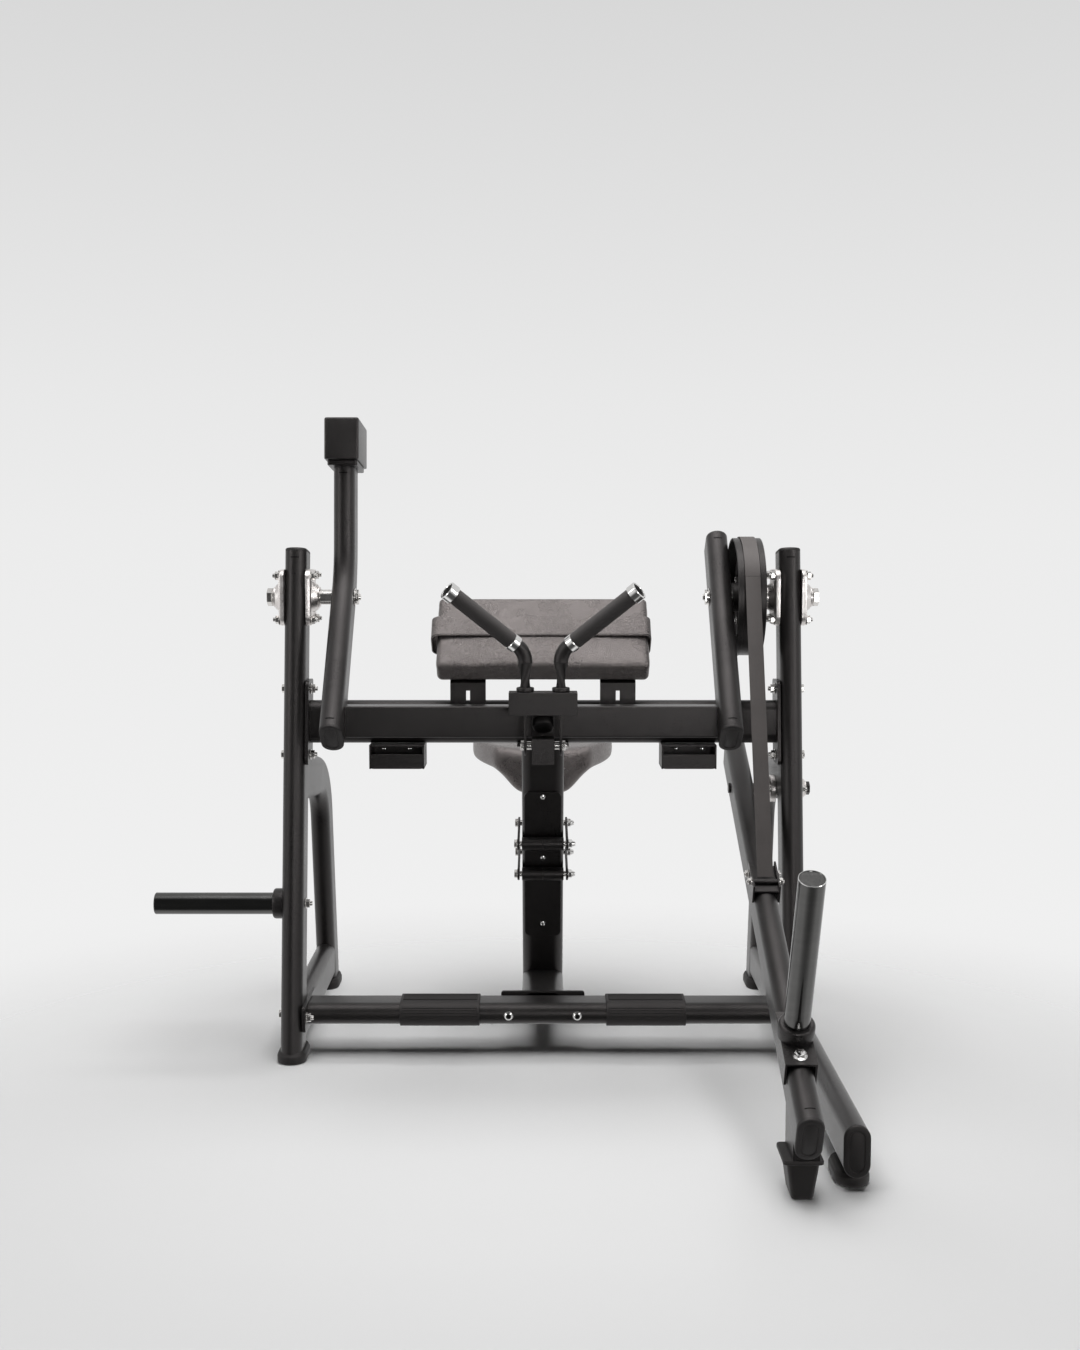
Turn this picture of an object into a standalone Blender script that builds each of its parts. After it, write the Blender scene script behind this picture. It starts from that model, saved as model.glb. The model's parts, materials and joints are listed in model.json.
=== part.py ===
"""Seated, plate-loaded biceps curl machine, built from flat-oval steel tube.

Metres, +Z up.  The user sits at +Y and faces -Y; the cam and belt are at +X.
Places are worked out in the machine's own frame: X = 0 is its centre plane,
Y = 0 lies near the front of the left front foot and Z = 0 is the floor.
The last step moves the whole machine so that the origin is the middle of its
bounding box, on the floor.
"""
import math

import bmesh
import bpy
from mathutils import Matrix, Vector

GAP = 0.0003              # left between pieces that touch
RUN_CLEAR = 0.0001        # radial clearance of a turning fit
WELD = 0.0015             # how far welded pieces run into each other
MERGE = 0.00001           # points closer than this become one after a cut
SHARP_ANGLE = math.radians(35)
ROUND_STEP = 0.3          # share of a cushion's rounding at its outer lattice line

# Flat-oval frame tube
TUBE_TALL = 0.100
TUBE_WIDE = 0.050
TUBE_WALL = 0.003
ARC_STEPS = 4
BEND_STEPS = 4
CAP_LIP = 0.007
CAP_PLUG = 0.015
CAP_EDGE = 0.003

# Side frames: an upright that leans back, a base tube and a bent rear leg
FRAME_X = 0.575
UPRIGHT_FLOOR_Y = 0.050
UPRIGHT_LEAN = 0.15       # run back for each metre of height
UPRIGHT_TOP_Z = 1.160
RIGHT_BASE_FRONT_Y = -0.690
LEG_FOOT_Y = 0.660
LEG_CORNER_Y = 0.549
LEG_CORNER_Z = 0.586
LEG_BEND = 0.150
LEG_JOIN_Z = 0.632

# Rubber feet
FOOT_LONG = 0.118
FOOT_WIDE = 0.067
FOOT_HIGH = 0.027
FOOT_ROUND = 0.005
LEFT_FOOT_Y = 0.059
RIGHT_FOOT_Y = -0.617
REAR_FOOT_Y = 0.655

# Low front crossbar and its foot pads
LOW_BAR_Y = 0.103
LOW_BAR_Z = 0.100
LOW_BAR_PLATE_Y = 0.170
LOW_BAR_PLATE_Z = 0.060
END_PLATE = 0.008
FOOT_PAD_INNER_X = 0.1465
FOOT_PAD_OUTER_X = 0.330
FOOT_PAD_THICK = 0.0045
FOOT_PAD_RIB = 0.002
FOOT_PAD_RIBS = 5
FOOT_PAD_PITCH = 0.0095

# Fixed beam between the uprights
BEAM_Z = 0.769
BEAM_PLATE_Y = 0.078
BEAM_PLATE_Z = 0.193

# Main pivot
PIVOT_Z = 1.057
SHAFT_R = 0.0175
SHAFT_SIDES = 16
SHAFT_END_X = 0.645
SHAFT_NUT_R = 0.021
SHAFT_NUT = 0.012
SHAFT_NUT_EDGE = 0.002
SHAFT_ROOM = 0.002        # round a shaft where it passes through a tube
LEFT_SHAFT_IN_X = 0.435
RIGHT_SHAFT_IN_X = 0.382
BEARING_Y = 0.100
BEARING_Z = 0.130
BEARING_PLATE = 0.012
BEARING_HUB_R = 0.034
BEARING_HUB = 0.012
BEARING_RACE_R = 0.024
BEARING_RACE = 0.005
BEARING_ROUND = 0.022
BEARING_HUB_TAPER = 0.86  # outer radius of a cast hub over the one at its flange

# Swinging lever
LEVER_LEFT_X = 0.4665
LEVER_RIGHT_X = 0.4147
LEVER_ANGLE = math.radians(39.7)
LEVER_LOWER = 0.386
LEVER_STUB = 0.155
LEVER_CORNER = 0.068
LEVER_UPPER_LEAN = math.radians(5.5)
LEVER_TOP_Z = 1.359
LEVER_BEND = 0.220
CROSS_TALL = 0.070
CROSS_DEEP = 0.050
CROSS_WALL = 0.003
CROSS_CORNER = 0.004
CROSS_Z = 0.787
BLOCK_WIDE = 0.080
BLOCK_DEEP = 0.180
BLOCK_TALL = 0.097
BLOCK_ROUND = 0.006
BLOCK_EDGE = 0.004
BLOCK_PLATE_WIDE = 0.070
BLOCK_PLATE_DEEP = 0.145
BLOCK_PLATE = 0.010

# Cam and belt
CAM_X = 0.4744
CAM_R = 0.138
CAM_WIDE = 0.064
CAM_RIM = 0.007
CAM_WEB = 0.010
CAM_HUB_R = 0.034
CAM_SIDES = 32
BELT_WIDE = 0.034
BELT_THICK = 0.003
BELT_PAST_TOP = math.radians(30)
BELT_STEPS = 10

# Weight arm: distances along it count from its pivot towards the front
ARM_PIVOT_Y = 0.250
ARM_PIVOT_Z = 0.598
ARM_FRONT_Y = -0.765
ARM_FRONT_Z = 0.132
ARM_REAR = 0.148
ARM_SHAFT_R = 0.012
ARM_SHAFT_SIDES = 12
ARM_SHAFT_IN_X = 0.444
ARM_SHAFT_OUT_X = 0.638
ARM_SHAFT_NUT_R = 0.016
ARM_SHAFT_NUT = 0.008
ARM_BEARING_LONG = 0.124
ARM_BEARING_TALL = 0.062
ARM_BEARING_HUB_R = 0.026
ARM_BEARING_RACE_R = 0.018
HORN_AT = 0.911
HORN_R = 0.025
HORN_TOP = 0.420          # height above the arm's centreline
HORN_COLLAR_R = 0.035
HORN_COLLAR = 0.030
COLLAR_EDGE = 0.003
HORN_EDGE = 0.001
HORN_SIDES = 20
SADDLE_HALF = 0.0305
SADDLE_WALL = 0.005
SADDLE_BACK = 0.848
SADDLE_FRONT = 0.992
SADDLE_DROP = 0.045
ARM_FOOT_X = 0.470
ARM_FOOT_Y = -0.693
ARM_FOOT_TOP_Z = 0.078
ARM_FOOT_FLANGE = 0.008
ARM_FOOT_WIDE = 0.074
ARM_FOOT_LONG = 0.095
ARM_FOOT_NARROW = 0.060
ARM_FOOT_TIP_WIDE = 0.042
ARM_FOOT_TIP_LONG = 0.070
ARM_FOOT_CORNER = 0.008
ARM_FOOT_INSET = 0.002    # wedge above the foot, in from its flange
CLEVIS_AT = 0.428
CLEVIS_LONG = 0.090
CLEVIS_HALF = 0.0295
CLEVIS_WALL = 0.004
CLEVIS_DROP = 0.026
CLEVIS_RISE = 0.012
CLEVIS_PIN_R = 0.005
BELT_END_AT = 0.446
BELT_END_UP = 0.060

# Storage horn on the left upright
STORE_Z = 0.352
STORE_OUT_X = 0.897
STORE_COLLAR = 0.023

# Handle yoke on the moving crossbar
YOKE_Y = -0.060
YOKE_Z = 0.836
YOKE_WIDE = 0.150
YOKE_SQUARE = 0.050
YOKE_PIVOT_Y = -0.057
YOKE_PIVOT_Z = 0.742
YOKE_PLATE_X = 0.037
YOKE_PLATE = 0.004
YOKE_PLATE_Y = 0.040
YOKE_PLATE_BELOW = 0.022
YOKE_PIN_R = 0.007
PIN_SIDES = 12
YOKE_PIN_HEAD_R = 0.011
YOKE_PIN_HEAD = 0.008
YOKE_PIN_EDGE = 0.002
YOKE_PIN_DOME = 0.005     # rise of the nut's dome above its flats
YOKE_PIN_DOME_R = 0.0055
YOKE_EDGE = 0.003
YOKE_BUSH_R = 0.0105
HUB_HALF = 0.0245
HUB_FRONT_Y = -0.085
HUB_TOP_Z = 0.759
HUB_BOTTOM_Z = 0.703
HUB_PLATE = 0.006
HUB_PLATE_TOP_Z = 0.842
HUB_SEAT = 0.002          # thickness of the folded seat under the bumper
HUB_STEP = 0.006
BUMPER_EDGE = 0.002
BUMPER_SIDES = 16
BUMPER_R = 0.0235
BUMPER_LONG = 0.017
BUMPER_Y = -0.048
BUMPER_Z = 0.787
HANDLE_X = 0.039
HANDLE_R = 0.016
HANDLE_SIDES = 12
HANDLE_CORNER_Z = 0.948
HANDLE_TIP = (0.203, -0.126, 1.084)
HANDLE_BEND = 0.045
HANDLE_RING = 0.010
HANDLE_RING_R = 0.0195
GRIP_R = 0.018
GRIP_COLLAR_R = 0.019
GRIP_COLLAR = 0.016
GRIP_COLLAR_AT = 0.026    # from the bend's corner along the grip
GRIP_TIP_R = 0.021
GRIP_TIP = 0.020

# Arm pad: distances along it count up from its front edge
PAD_WIDE = 0.496
PAD_THICK = 0.070
PAD_FRONT_Y = 0.080
PAD_FRONT_Z = 0.907
PAD_ANGLE = math.radians(47.9)
PAD_LONG = 0.212
PAD_CROWN = 0.005
PAD_ROUND = 0.014
PAD_DRAW = 0.003
BAND_FROM = 0.086
BAND_WIDE = 0.056
BAND_THICK = 0.0025
BAND_SLACK = 0.009
PAD_BRACKET_X = 0.173
PAD_BRACKET_WIDE = 0.082
PAD_BRACKET = 0.006
PAD_BRACKET_LOW_Z = 0.742
PAD_BRACKET_SHORT = 0.002 # left between the bracket under the pad and the band
PAD_SLOT_WIDE = 0.009
PAD_SLOT_TALL = 0.024
PAD_SLOT_Z = 0.832

# Trays under the beam
TRAY_X = 0.338
TRAY_WIDE = 0.127
TRAY_DEEP = 0.086
TRAY_LOW_Z = 0.663
TRAY_LIP_Z = 0.697
TRAY_SHEET = 0.004

# Centre base tube, column and the plate that carries the seat
CENTRE_PLATE_WIDE = 0.197
CENTRE_PLATE_TALL = 0.058
CENTRE_BASE_REAR_Y = 0.470
COLUMN_FLOOR_Y = 0.415
COLUMN_LEAN = -0.31       # run back for each metre of height
COLUMN_PLATE = 0.006
COLUMN_PLATE_WIDE = 0.120
COLUMN_PLATE_DEEP = 0.080
MOUNT_WIDE = 0.087
MOUNT_PLATE = 0.003
MOUNT_LOW_Z = 0.229
MOUNT_TOP_Z = 0.604
MOUNT_ROUND = 0.012

# Seat linkage and saddle
LINK_UPPER_Z = 0.480
LINK_LOWER_Z = 0.402
LINK_RUN = 0.165
LINK_RISE = 0.020
LINK_X = 0.0557
LINK_PLATE = 0.005
LINK_TALL = 0.030
LINK_PIN_R = 0.007
PIVOT_TUBE_R = 0.016
PIVOT_TUBE_HALF = 0.050
LINK_HEAD_R = 0.011
LINK_HEAD = 0.008
LINK_HEAD_EDGE = 0.002
LINK_NUT = 0.019          # whole height of the cap nut, dome included
LINK_DOME = 0.015         # height where the dome starts to close
LINK_DOME_R = 0.008
LINK_DOME_TIP_R = 0.0035
POST_HALF = 0.030
POST_DEEP = 0.030
POST_LOW_Z = 0.372
BRACE_HALF = 0.003
BRACE_DROP = 0.085
BRACE_TIP = 0.014
BRACE_INSET = 0.030
SEAT_PLATE_LEAD = 0.012
SEAT_PLATE_Z = 0.545
SEAT_PLATE = 0.006
SEAT_PLATE_HALF = 0.044
SEAT_PLATE_REAR_Y = 0.640
SEAT_FRONT_Y = 0.430
SEAT_LONG = 0.260
SEAT_HALF_FRONT = 0.120
SEAT_HALF_REAR = 0.1885
SEAT_TOP_Z = 0.676
SEAT_DIP = 0.012
SEAT_WING_Z = 0.614
SEAT_KEEL_FLAT = 0.048
SEAT_KEEL_REACH = 0.130
SEAT_ROUND = 0.020

LOOKS = {
    "powder_coat": ((0.022, 0.021, 0.021), 0.42, 0.0),
    "black_rubber": ((0.016, 0.016, 0.016), 0.70, 0.0),
    "bright_steel": ((0.62, 0.61, 0.60), 0.28, 1.0),
    "cast_housing": ((0.60, 0.58, 0.56), 0.45, 1.0),
    "dark_chrome": ((0.17, 0.17, 0.165), 0.16, 1.0),
    "belt_grey": ((0.075, 0.070, 0.068), 0.62, 0.0),
    "pad_leather": ((0.045, 0.042, 0.041), 0.50, 0.0),
    "foam_grip": ((0.028, 0.027, 0.027), 0.80, 0.0),
}

RIGHT = Vector((1, 0, 0))
BACK = Vector((0, 1, 0))
UP = Vector((0, 0, 1))
BODIES = {}


# Scene and objects

def clear_scene():
    for item in list(bpy.data.objects):
        bpy.data.objects.remove(item, do_unlink=True)


def new_material(node, look):
    colour, roughness, metallic = LOOKS[look]
    made = bpy.data.materials.new(node + "_" + look)
    made.use_nodes = True
    shader = made.node_tree.nodes["Principled BSDF"]
    shader.inputs["Base Color"].default_value = (*colour, 1.0)
    shader.inputs["Roughness"].default_value = roughness
    shader.inputs["Metallic"].default_value = metallic
    return made


def add_body(name, place=(0, 0, 0), parent=None):
    """Empty on a joint's axis, which carries the pieces of one moving body."""
    empty = bpy.data.objects.new(name + "_axis", None)
    bpy.context.collection.objects.link(empty)
    held = Vector((0, 0, 0))
    if parent:
        empty.parent, held = BODIES[parent]
    empty.location = Vector(place) - held
    BODIES[name] = (empty, Vector(place))


def add_piece(node, body, look, *solids):
    """One named object from solids that are given in the machine's frame."""
    whole = bmesh.new()
    for solid in solids:
        held = bpy.data.meshes.new("held")
        solid.to_mesh(held)
        solid.free()
        whole.from_mesh(held)
        bpy.data.meshes.remove(held)
    empty, place = BODIES[body]
    bmesh.ops.translate(whole, verts=whole.verts, vec=-place)
    mesh = bpy.data.meshes.new(node)
    whole.to_mesh(mesh)
    whole.free()
    mesh.shade_smooth()
    mesh.set_sharp_from_angle(angle=SHARP_ANGLE)
    mesh.materials.append(new_material(node, look))
    made = bpy.data.objects.new(node, mesh)
    bpy.context.collection.objects.link(made)
    made.parent = empty
    return made


# Outlines

def stadium(tall, wide):
    """Flat oval: u runs across its narrow side, v along its tall one."""
    radius = wide / 2
    straight = tall / 2 - radius
    points = []
    for end in (1, -1):
        for step in range(ARC_STEPS + 1):
            turn = math.pi * step / ARC_STEPS
            points.append((end * radius * math.cos(turn), end * (straight + radius * math.sin(turn))))
    return points


def rounded_rectangle(tall, wide, radius, steps=2):
    points = []
    for sign_u, sign_v, start in ((1, 1, 0), (-1, 1, 90), (-1, -1, 180), (1, -1, 270)):
        for step in range(steps + 1):
            turn = math.radians(start + 90 * step / steps)
            points.append((sign_u * (wide / 2 - radius) + radius * math.cos(turn),
                           sign_v * (tall / 2 - radius) + radius * math.sin(turn)))
    return points


def circle(radius, sides):
    return [(radius * math.cos(math.tau * step / sides), radius * math.sin(math.tau * step / sides))
            for step in range(sides)]


def hole_radius(pin_radius, sides, clearance):
    """Radius of a faceted hole whose flats clear the pin's corners."""
    return (pin_radius + clearance) / math.cos(math.pi / sides)


def axes_across(direction, hint):
    """Two directions square to a path: u near the hint, v square to both."""
    along = Vector(direction).normalized()
    along_u = (hint - along * hint.dot(along)).normalized()
    return along_u, along.cross(along_u)


def hint_for(axis):
    return UP if abs(Vector(axis).normalized().z) < 0.9 else BACK


def ring_at(place, outline, axis, hint):
    along_u, along_v = axes_across(axis, hint)
    return [Vector(place) + along_u * u + along_v * v for u, v in outline]


# Solids

def loft(rings, inner=None, closed=False):
    """Closed solid through rings of points; inner rings make it a pipe.

    A closed pipe has a lid at its last ring, and its inner rings end below it.
    """
    solid = bmesh.new()
    outer = [[solid.verts.new(point) for point in ring] for ring in rings]
    count = len(rings[0])

    def skin(loops):
        for near, far in zip(loops, loops[1:]):
            for i in range(count):
                j = (i + 1) % count
                solid.faces.new((near[i], near[j], far[j], far[i]))

    if inner:
        within = [[solid.verts.new(point) for point in ring] for ring in inner]
        if closed:
            skin(list(reversed(within)) + outer)
            solid.faces.new(within[-1])
            solid.faces.new(outer[-1])
        else:
            skin(outer + list(reversed(within)) + outer[:1])
    else:
        skin(outer)
        solid.faces.new(outer[0])
        solid.faces.new(outer[-1])
    bmesh.ops.recalc_face_normals(solid, faces=solid.faces)
    return solid


def bent_path(corners, radius=0.0):
    """Places and directions along a path whose inner corners are bends."""
    corners = [Vector(corner) for corner in corners]
    stations = [(corners[0], (corners[1] - corners[0]).normalized())]
    for before, corner, after in zip(corners, corners[1:], corners[2:]):
        come = (corner - before).normalized()
        leave = (after - corner).normalized()
        turn = come.angle(leave)
        axis = come.cross(leave).normalized()
        start = corner - come * radius * math.tan(turn / 2)
        centre = start + axis.cross(come) * radius
        for step in range(BEND_STEPS + 1):
            spin = Matrix.Rotation(turn * step / BEND_STEPS, 3, axis)
            stations.append((centre + spin @ (start - centre), spin @ come))
    stations.append((corners[-1], (corners[-1] - corners[-2]).normalized()))
    return stations


def slide_to_plane(ring, direction, plane):
    """Move each point along the path until it lies in a (place, normal) plane."""
    place, normal = Vector(plane[0]), Vector(plane[1])
    return [point + direction * ((place - point).dot(normal) / direction.dot(normal)) for point in ring]


def sweep(stations, outline, inner=None, hint=RIGHT, start_plane=None, end_plane=None):
    def rings_of(shape):
        rings = [ring_at(place, shape, direction, hint) for place, direction in stations]
        if start_plane:
            rings[0] = slide_to_plane(rings[0], stations[0][1], start_plane)
        if end_plane:
            rings[-1] = slide_to_plane(rings[-1], stations[-1][1], end_plane)
        return rings
    return loft(rings_of(outline), rings_of(inner) if inner else None)


def oval_tube(corners, radius=0.0, hint=RIGHT, **planes):
    """Hollow flat-oval tube, narrow along the hint direction."""
    outer = stadium(TUBE_TALL, TUBE_WIDE)
    inner = stadium(TUBE_TALL - 2 * TUBE_WALL, TUBE_WIDE - 2 * TUBE_WALL)
    return sweep(bent_path(corners, radius), outer, inner, hint, **planes)


def oval_cutter(corners, hint=RIGHT, grow=GAP):
    """Full flat-oval bar, a gap larger than a tube, which copes its neighbour."""
    return sweep(bent_path(corners), stadium(TUBE_TALL + 2 * grow, TUBE_WIDE + 2 * grow), None, hint)


def turned(start, axis, profile, sides=20):
    """Solid of revolution through (distance, radius) pairs."""
    axis = Vector(axis).normalized()
    return loft([ring_at(Vector(start) + axis * distance, circle(radius, sides), axis, hint_for(axis))
                 for distance, radius in profile])


def turned_ring(start, axis, loop, sides=20):
    """Ring of revolution from a closed loop of (distance, radius) pairs."""
    axis = Vector(axis).normalized()
    rings = [ring_at(Vector(start) + axis * distance, circle(radius, sides), axis, hint_for(axis))
             for distance, radius in loop]
    half = len(rings) // 2
    return loft(rings[:half], list(reversed(rings[half:])))


def sleeve(start, axis, length, outer, bore, sides=20):
    return turned_ring(start, axis, ((0, outer), (length, outer), (length, bore), (0, bore)), sides)


def rod(start, end, radius, sides=16):
    start = Vector(start)
    reach = Vector(end) - start
    return turned(start, reach, ((0, radius), (reach.length, radius)), sides)


def prism(points, start_x, end_x):
    """Polygon of (y, z) points pulled from one X to another."""
    return loft([[Vector((x, y, z)) for y, z in points] for x in (start_x, end_x)])


def block(low, high, rounding=0.0):
    """Box between two corners, its edges rounded where a radius is given."""
    solid = bmesh.new()
    bmesh.ops.create_cube(solid, size=1.0)
    bmesh.ops.scale(solid, vec=Vector(high) - Vector(low), verts=solid.verts)
    bmesh.ops.translate(solid, vec=(Vector(high) + Vector(low)) / 2, verts=solid.verts)
    if rounding:
        bmesh.ops.bevel(solid, geom=list(solid.edges), offset=rounding, segments=2, profile=0.5,
                        affect="EDGES")
    return solid


def held_object(solid):
    mesh = bpy.data.meshes.new("held")
    solid.to_mesh(mesh)
    solid.free()
    held = bpy.data.objects.new("held", mesh)
    bpy.context.collection.objects.link(held)
    return held


def combine(operation, solid, tools):
    """Solid after one Boolean with each tool, as new geometry."""
    target = held_object(solid)
    others = [held_object(tool) for tool in tools]
    for other in others:
        other.hide_render = True
        other.display_type = "WIRE"
        step = target.modifiers.new(operation.lower(), "BOOLEAN")
        step.operation = operation
        step.object = other
    result = bmesh.new()
    result.from_object(target, bpy.context.evaluated_depsgraph_get())
    bmesh.ops.remove_doubles(result, verts=result.verts, dist=MERGE)
    for item in [target] + others:
        bpy.data.objects.remove(item, do_unlink=True)
    return result


def cut(solid, *tools):
    return combine("DIFFERENCE", solid, tools)


def join(solid, *tools):
    return combine("UNION", solid, tools)


# Shared places

def upright_y(z):
    return UPRIGHT_FLOOR_Y + UPRIGHT_LEAN * z


def column_y(z):
    return COLUMN_FLOOR_Y + COLUMN_LEAN * z


PIVOT_Y = upright_y(PIVOT_Z)
BEAM_Y = upright_y(BEAM_Z)
BASE_Z = FOOT_HIGH + GAP + TUBE_TALL / 2
FACE_IN = FRAME_X - TUBE_WIDE / 2
FACE_OUT = FRAME_X + TUBE_WIDE / 2
LEVER_DOWN = Vector((0, -math.sin(LEVER_ANGLE), -math.cos(LEVER_ANGLE)))
ARM_PIVOT = Vector((0, ARM_PIVOT_Y, ARM_PIVOT_Z))
ARM_FORWARD = (Vector((0, ARM_FRONT_Y, ARM_FRONT_Z)) - ARM_PIVOT).normalized()
ARM_UP = Vector((0, ARM_FORWARD.z, -ARM_FORWARD.y))
ARM_FRONT = (Vector((0, ARM_FRONT_Y, ARM_FRONT_Z)) - ARM_PIVOT).length
PAD_UP = Vector((0, math.cos(PAD_ANGLE), math.sin(PAD_ANGLE)))
PAD_OUT = Vector((0, -math.sin(PAD_ANGLE), math.cos(PAD_ANGLE)))
COLUMN_UP = Vector((0, COLUMN_LEAN, 1)).normalized()
COLUMN_OUT = Vector((0, -1, COLUMN_LEAN)).normalized()


def arm_place(distance, height, x=CAM_X):
    return ARM_PIVOT + ARM_FORWARD * distance + ARM_UP * height + RIGHT * x


def belt_tangent():
    """Belt's lower pivot, and the place and angle where it meets the cam."""
    start = arm_place(BELT_END_AT, BELT_END_UP, 0)
    centre = Vector((0, PIVOT_Y, PIVOT_Z))
    radius = CAM_R + GAP + BELT_THICK / 2
    reach = start - centre
    tilt = (math.atan2(reach.z, reach.y) - math.acos(radius / reach.length)) % math.tau
    touch = centre + Vector((0, math.cos(tilt), math.sin(tilt))) * radius
    return start, touch, tilt


def front_pivot(z):
    """Seat link's front pivot, in a tube welded to the plate on the column."""
    off = TUBE_WIDE / 2 + GAP + MOUNT_PLATE + PIVOT_TUBE_R - WELD
    return Vector((0, column_y(z), z)) + COLUMN_OUT * off


def rear_pivot(z):
    return front_pivot(z) + Vector((0, LINK_RUN, LINK_RISE))


def end_cap(end, outward, hint=RIGHT):
    """Plug for an open tube end, with a lip as wide as the tube."""
    clear = TUBE_WALL + GAP
    plug = (TUBE_TALL - 2 * clear, TUBE_WIDE - 2 * clear)
    levels = ((-CAP_PLUG, plug), (GAP, plug), (GAP, (TUBE_TALL, TUBE_WIDE)),
              (CAP_LIP - CAP_EDGE, (TUBE_TALL, TUBE_WIDE)),
              (CAP_LIP, (TUBE_TALL - 2 * CAP_EDGE, TUBE_WIDE - 2 * CAP_EDGE)))
    outward = Vector(outward).normalized()
    return loft([ring_at(Vector(end) + outward * distance, stadium(*size), outward, hint)
                 for distance, size in levels])


# Side frames

def leg_path(side):
    x = side * FRAME_X
    foot = FOOT_HIGH + GAP
    return ((x, LEG_FOOT_Y, foot), (x, LEG_CORNER_Y, LEG_CORNER_Z), (x, upright_y(LEG_JOIN_Z), LEG_JOIN_Z))


def upright_path(side, low_z):
    x = side * FRAME_X
    return (x, upright_y(low_z), low_z), (x, upright_y(UPRIGHT_TOP_Z), UPRIGHT_TOP_Z)


def leg_slope():
    """Direction of the rear leg's upper stretch, from the bend to the upright."""
    return Vector((0, upright_y(LEG_JOIN_Z) - LEG_CORNER_Y, LEG_JOIN_Z - LEG_CORNER_Z)).normalized()


def through_side(side, place, radius, sides):
    """Cutter along X through one side frame's tube."""
    centre = Vector((side * FRAME_X, place.y, place.z))
    return rod(centre - RIGHT * TUBE_WIDE, centre + RIGHT * TUBE_WIDE, radius, sides)


def plugged_tube(start, end, hint=RIGHT):
    """Straight tube, open where it starts, its far end closed by a thick lid."""
    along = (Vector(end) - Vector(start)).normalized()
    stations = ((start, 0), (end + along * (CAP_LIP - CAP_EDGE), 0), (end + along * CAP_LIP, 2 * CAP_EDGE))
    outer = [ring_at(place, stadium(TUBE_TALL - trim, TUBE_WIDE - trim), along, hint)
             for place, trim in stations]
    hollow = stadium(TUBE_TALL - 2 * TUBE_WALL, TUBE_WIDE - 2 * TUBE_WALL)
    inner = [ring_at(place, hollow, along, hint) for place in (start, end - along * CAP_PLUG)]
    return loft(outer, inner, closed=True)


def welded_collar(start, axis, length):
    """Round collar that is welded on where it starts, its outer rim broken."""
    levels = ((0, HORN_COLLAR_R), (WELD + length - COLLAR_EDGE, HORN_COLLAR_R),
              (WELD + length, HORN_COLLAR_R - COLLAR_EDGE))
    return turned(start, axis, levels, HORN_SIDES)


def make_upright(side, name):
    """Leaning tube, bored for the main pivot; the right one stands on its base tube."""
    x = side * FRAME_X
    low_z = BASE_Z if side > 0 else FOOT_HIGH + GAP
    path = upright_path(side, low_z)
    tools = [through_side(side, Vector((0, PIVOT_Y, PIVOT_Z)), SHAFT_R + SHAFT_ROOM, SHAFT_SIDES)]
    if side > 0:
        tools.append(oval_cutter(((x, -1, BASE_Z), (x, 1, BASE_Z))))
    upright = cut(oval_tube(path, start_plane=((0, 0, low_z), UP)), *tools)
    if side < 0:
        start = Vector((side * (FACE_OUT - WELD), upright_y(STORE_Z), STORE_Z))
        upright = join(upright, welded_collar(start, RIGHT * side, STORE_COLLAR))
    add_piece("upright_" + name, "frame", "powder_coat", upright)
    top = Vector(path[1])
    add_piece("upright_cap_" + name, "frame", "black_rubber", end_cap(top, top - Vector(path[0])))


def make_side(side, name):
    x = side * FRAME_X
    make_upright(side, name)
    leg_low, leg_high = [Vector(place) for place in leg_path(side)[:2]]
    leg_line = (leg_high - leg_low).normalized()
    tools = [oval_cutter((leg_low - leg_line * TUBE_TALL, leg_high))]
    if side < 0:
        tools.append(oval_cutter(upright_path(side, -TUBE_TALL)))
        base_front = upright_y(BASE_Z)
    else:
        base_front = RIGHT_BASE_FRONT_Y
    base = oval_tube(((x, base_front, BASE_Z), (x, LEG_FOOT_Y - TUBE_WIDE, BASE_Z)))
    add_piece("base_tube_" + name, "frame", "powder_coat", cut(base, *tools))
    leg = oval_tube(leg_path(side), LEG_BEND, start_plane=((0, 0, FOOT_HIGH + GAP), UP))
    tools = [oval_cutter(upright_path(side, LEG_JOIN_Z / 2))]
    if side > 0:
        tools.append(through_side(side, ARM_PIVOT, ARM_SHAFT_R + SHAFT_ROOM, ARM_SHAFT_SIDES))
    add_piece("rear_leg_" + name, "frame", "powder_coat", cut(leg, *tools))


def make_base_cap():
    front = (FRAME_X, RIGHT_BASE_FRONT_Y, BASE_Z)
    add_piece("base_cap_right", "frame", "black_rubber", end_cap(front, -BACK))


def oval_foot(x, y):
    levels = ((0, -2 * FOOT_ROUND), (FOOT_ROUND, 0), (FOOT_HIGH - FOOT_ROUND, 0), (FOOT_HIGH, -FOOT_ROUND))
    return loft([ring_at((x, y, z), stadium(FOOT_LONG + trim, FOOT_WIDE + trim), UP, RIGHT)
                 for z, trim in levels])


def make_feet():
    spots = (("foot_front_left", -FRAME_X, LEFT_FOOT_Y), ("foot_front_right", FRAME_X, RIGHT_FOOT_Y),
             ("foot_rear_left", -FRAME_X, REAR_FOOT_Y), ("foot_rear_right", FRAME_X, REAR_FOOT_Y))
    for name, x, y in spots:
        add_piece(name, "frame", "black_rubber", oval_foot(x, y))


# Crossbar, beam and what hangs on them

def plated_tube(y, z, hint, plates):
    """Tube along X welded between two end plates that leave its ends open."""
    end = FACE_IN - GAP - END_PLATE + WELD
    far = FACE_IN + TUBE_WIDE
    tube = oval_tube(((-end, y, z), (end, y, z)), hint=hint)
    open_plates = [cut(plate, oval_cutter(((-far, y, z), (far, y, z)), hint, -TUBE_WALL)) for plate in plates]
    return join(tube, *open_plates)


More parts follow.
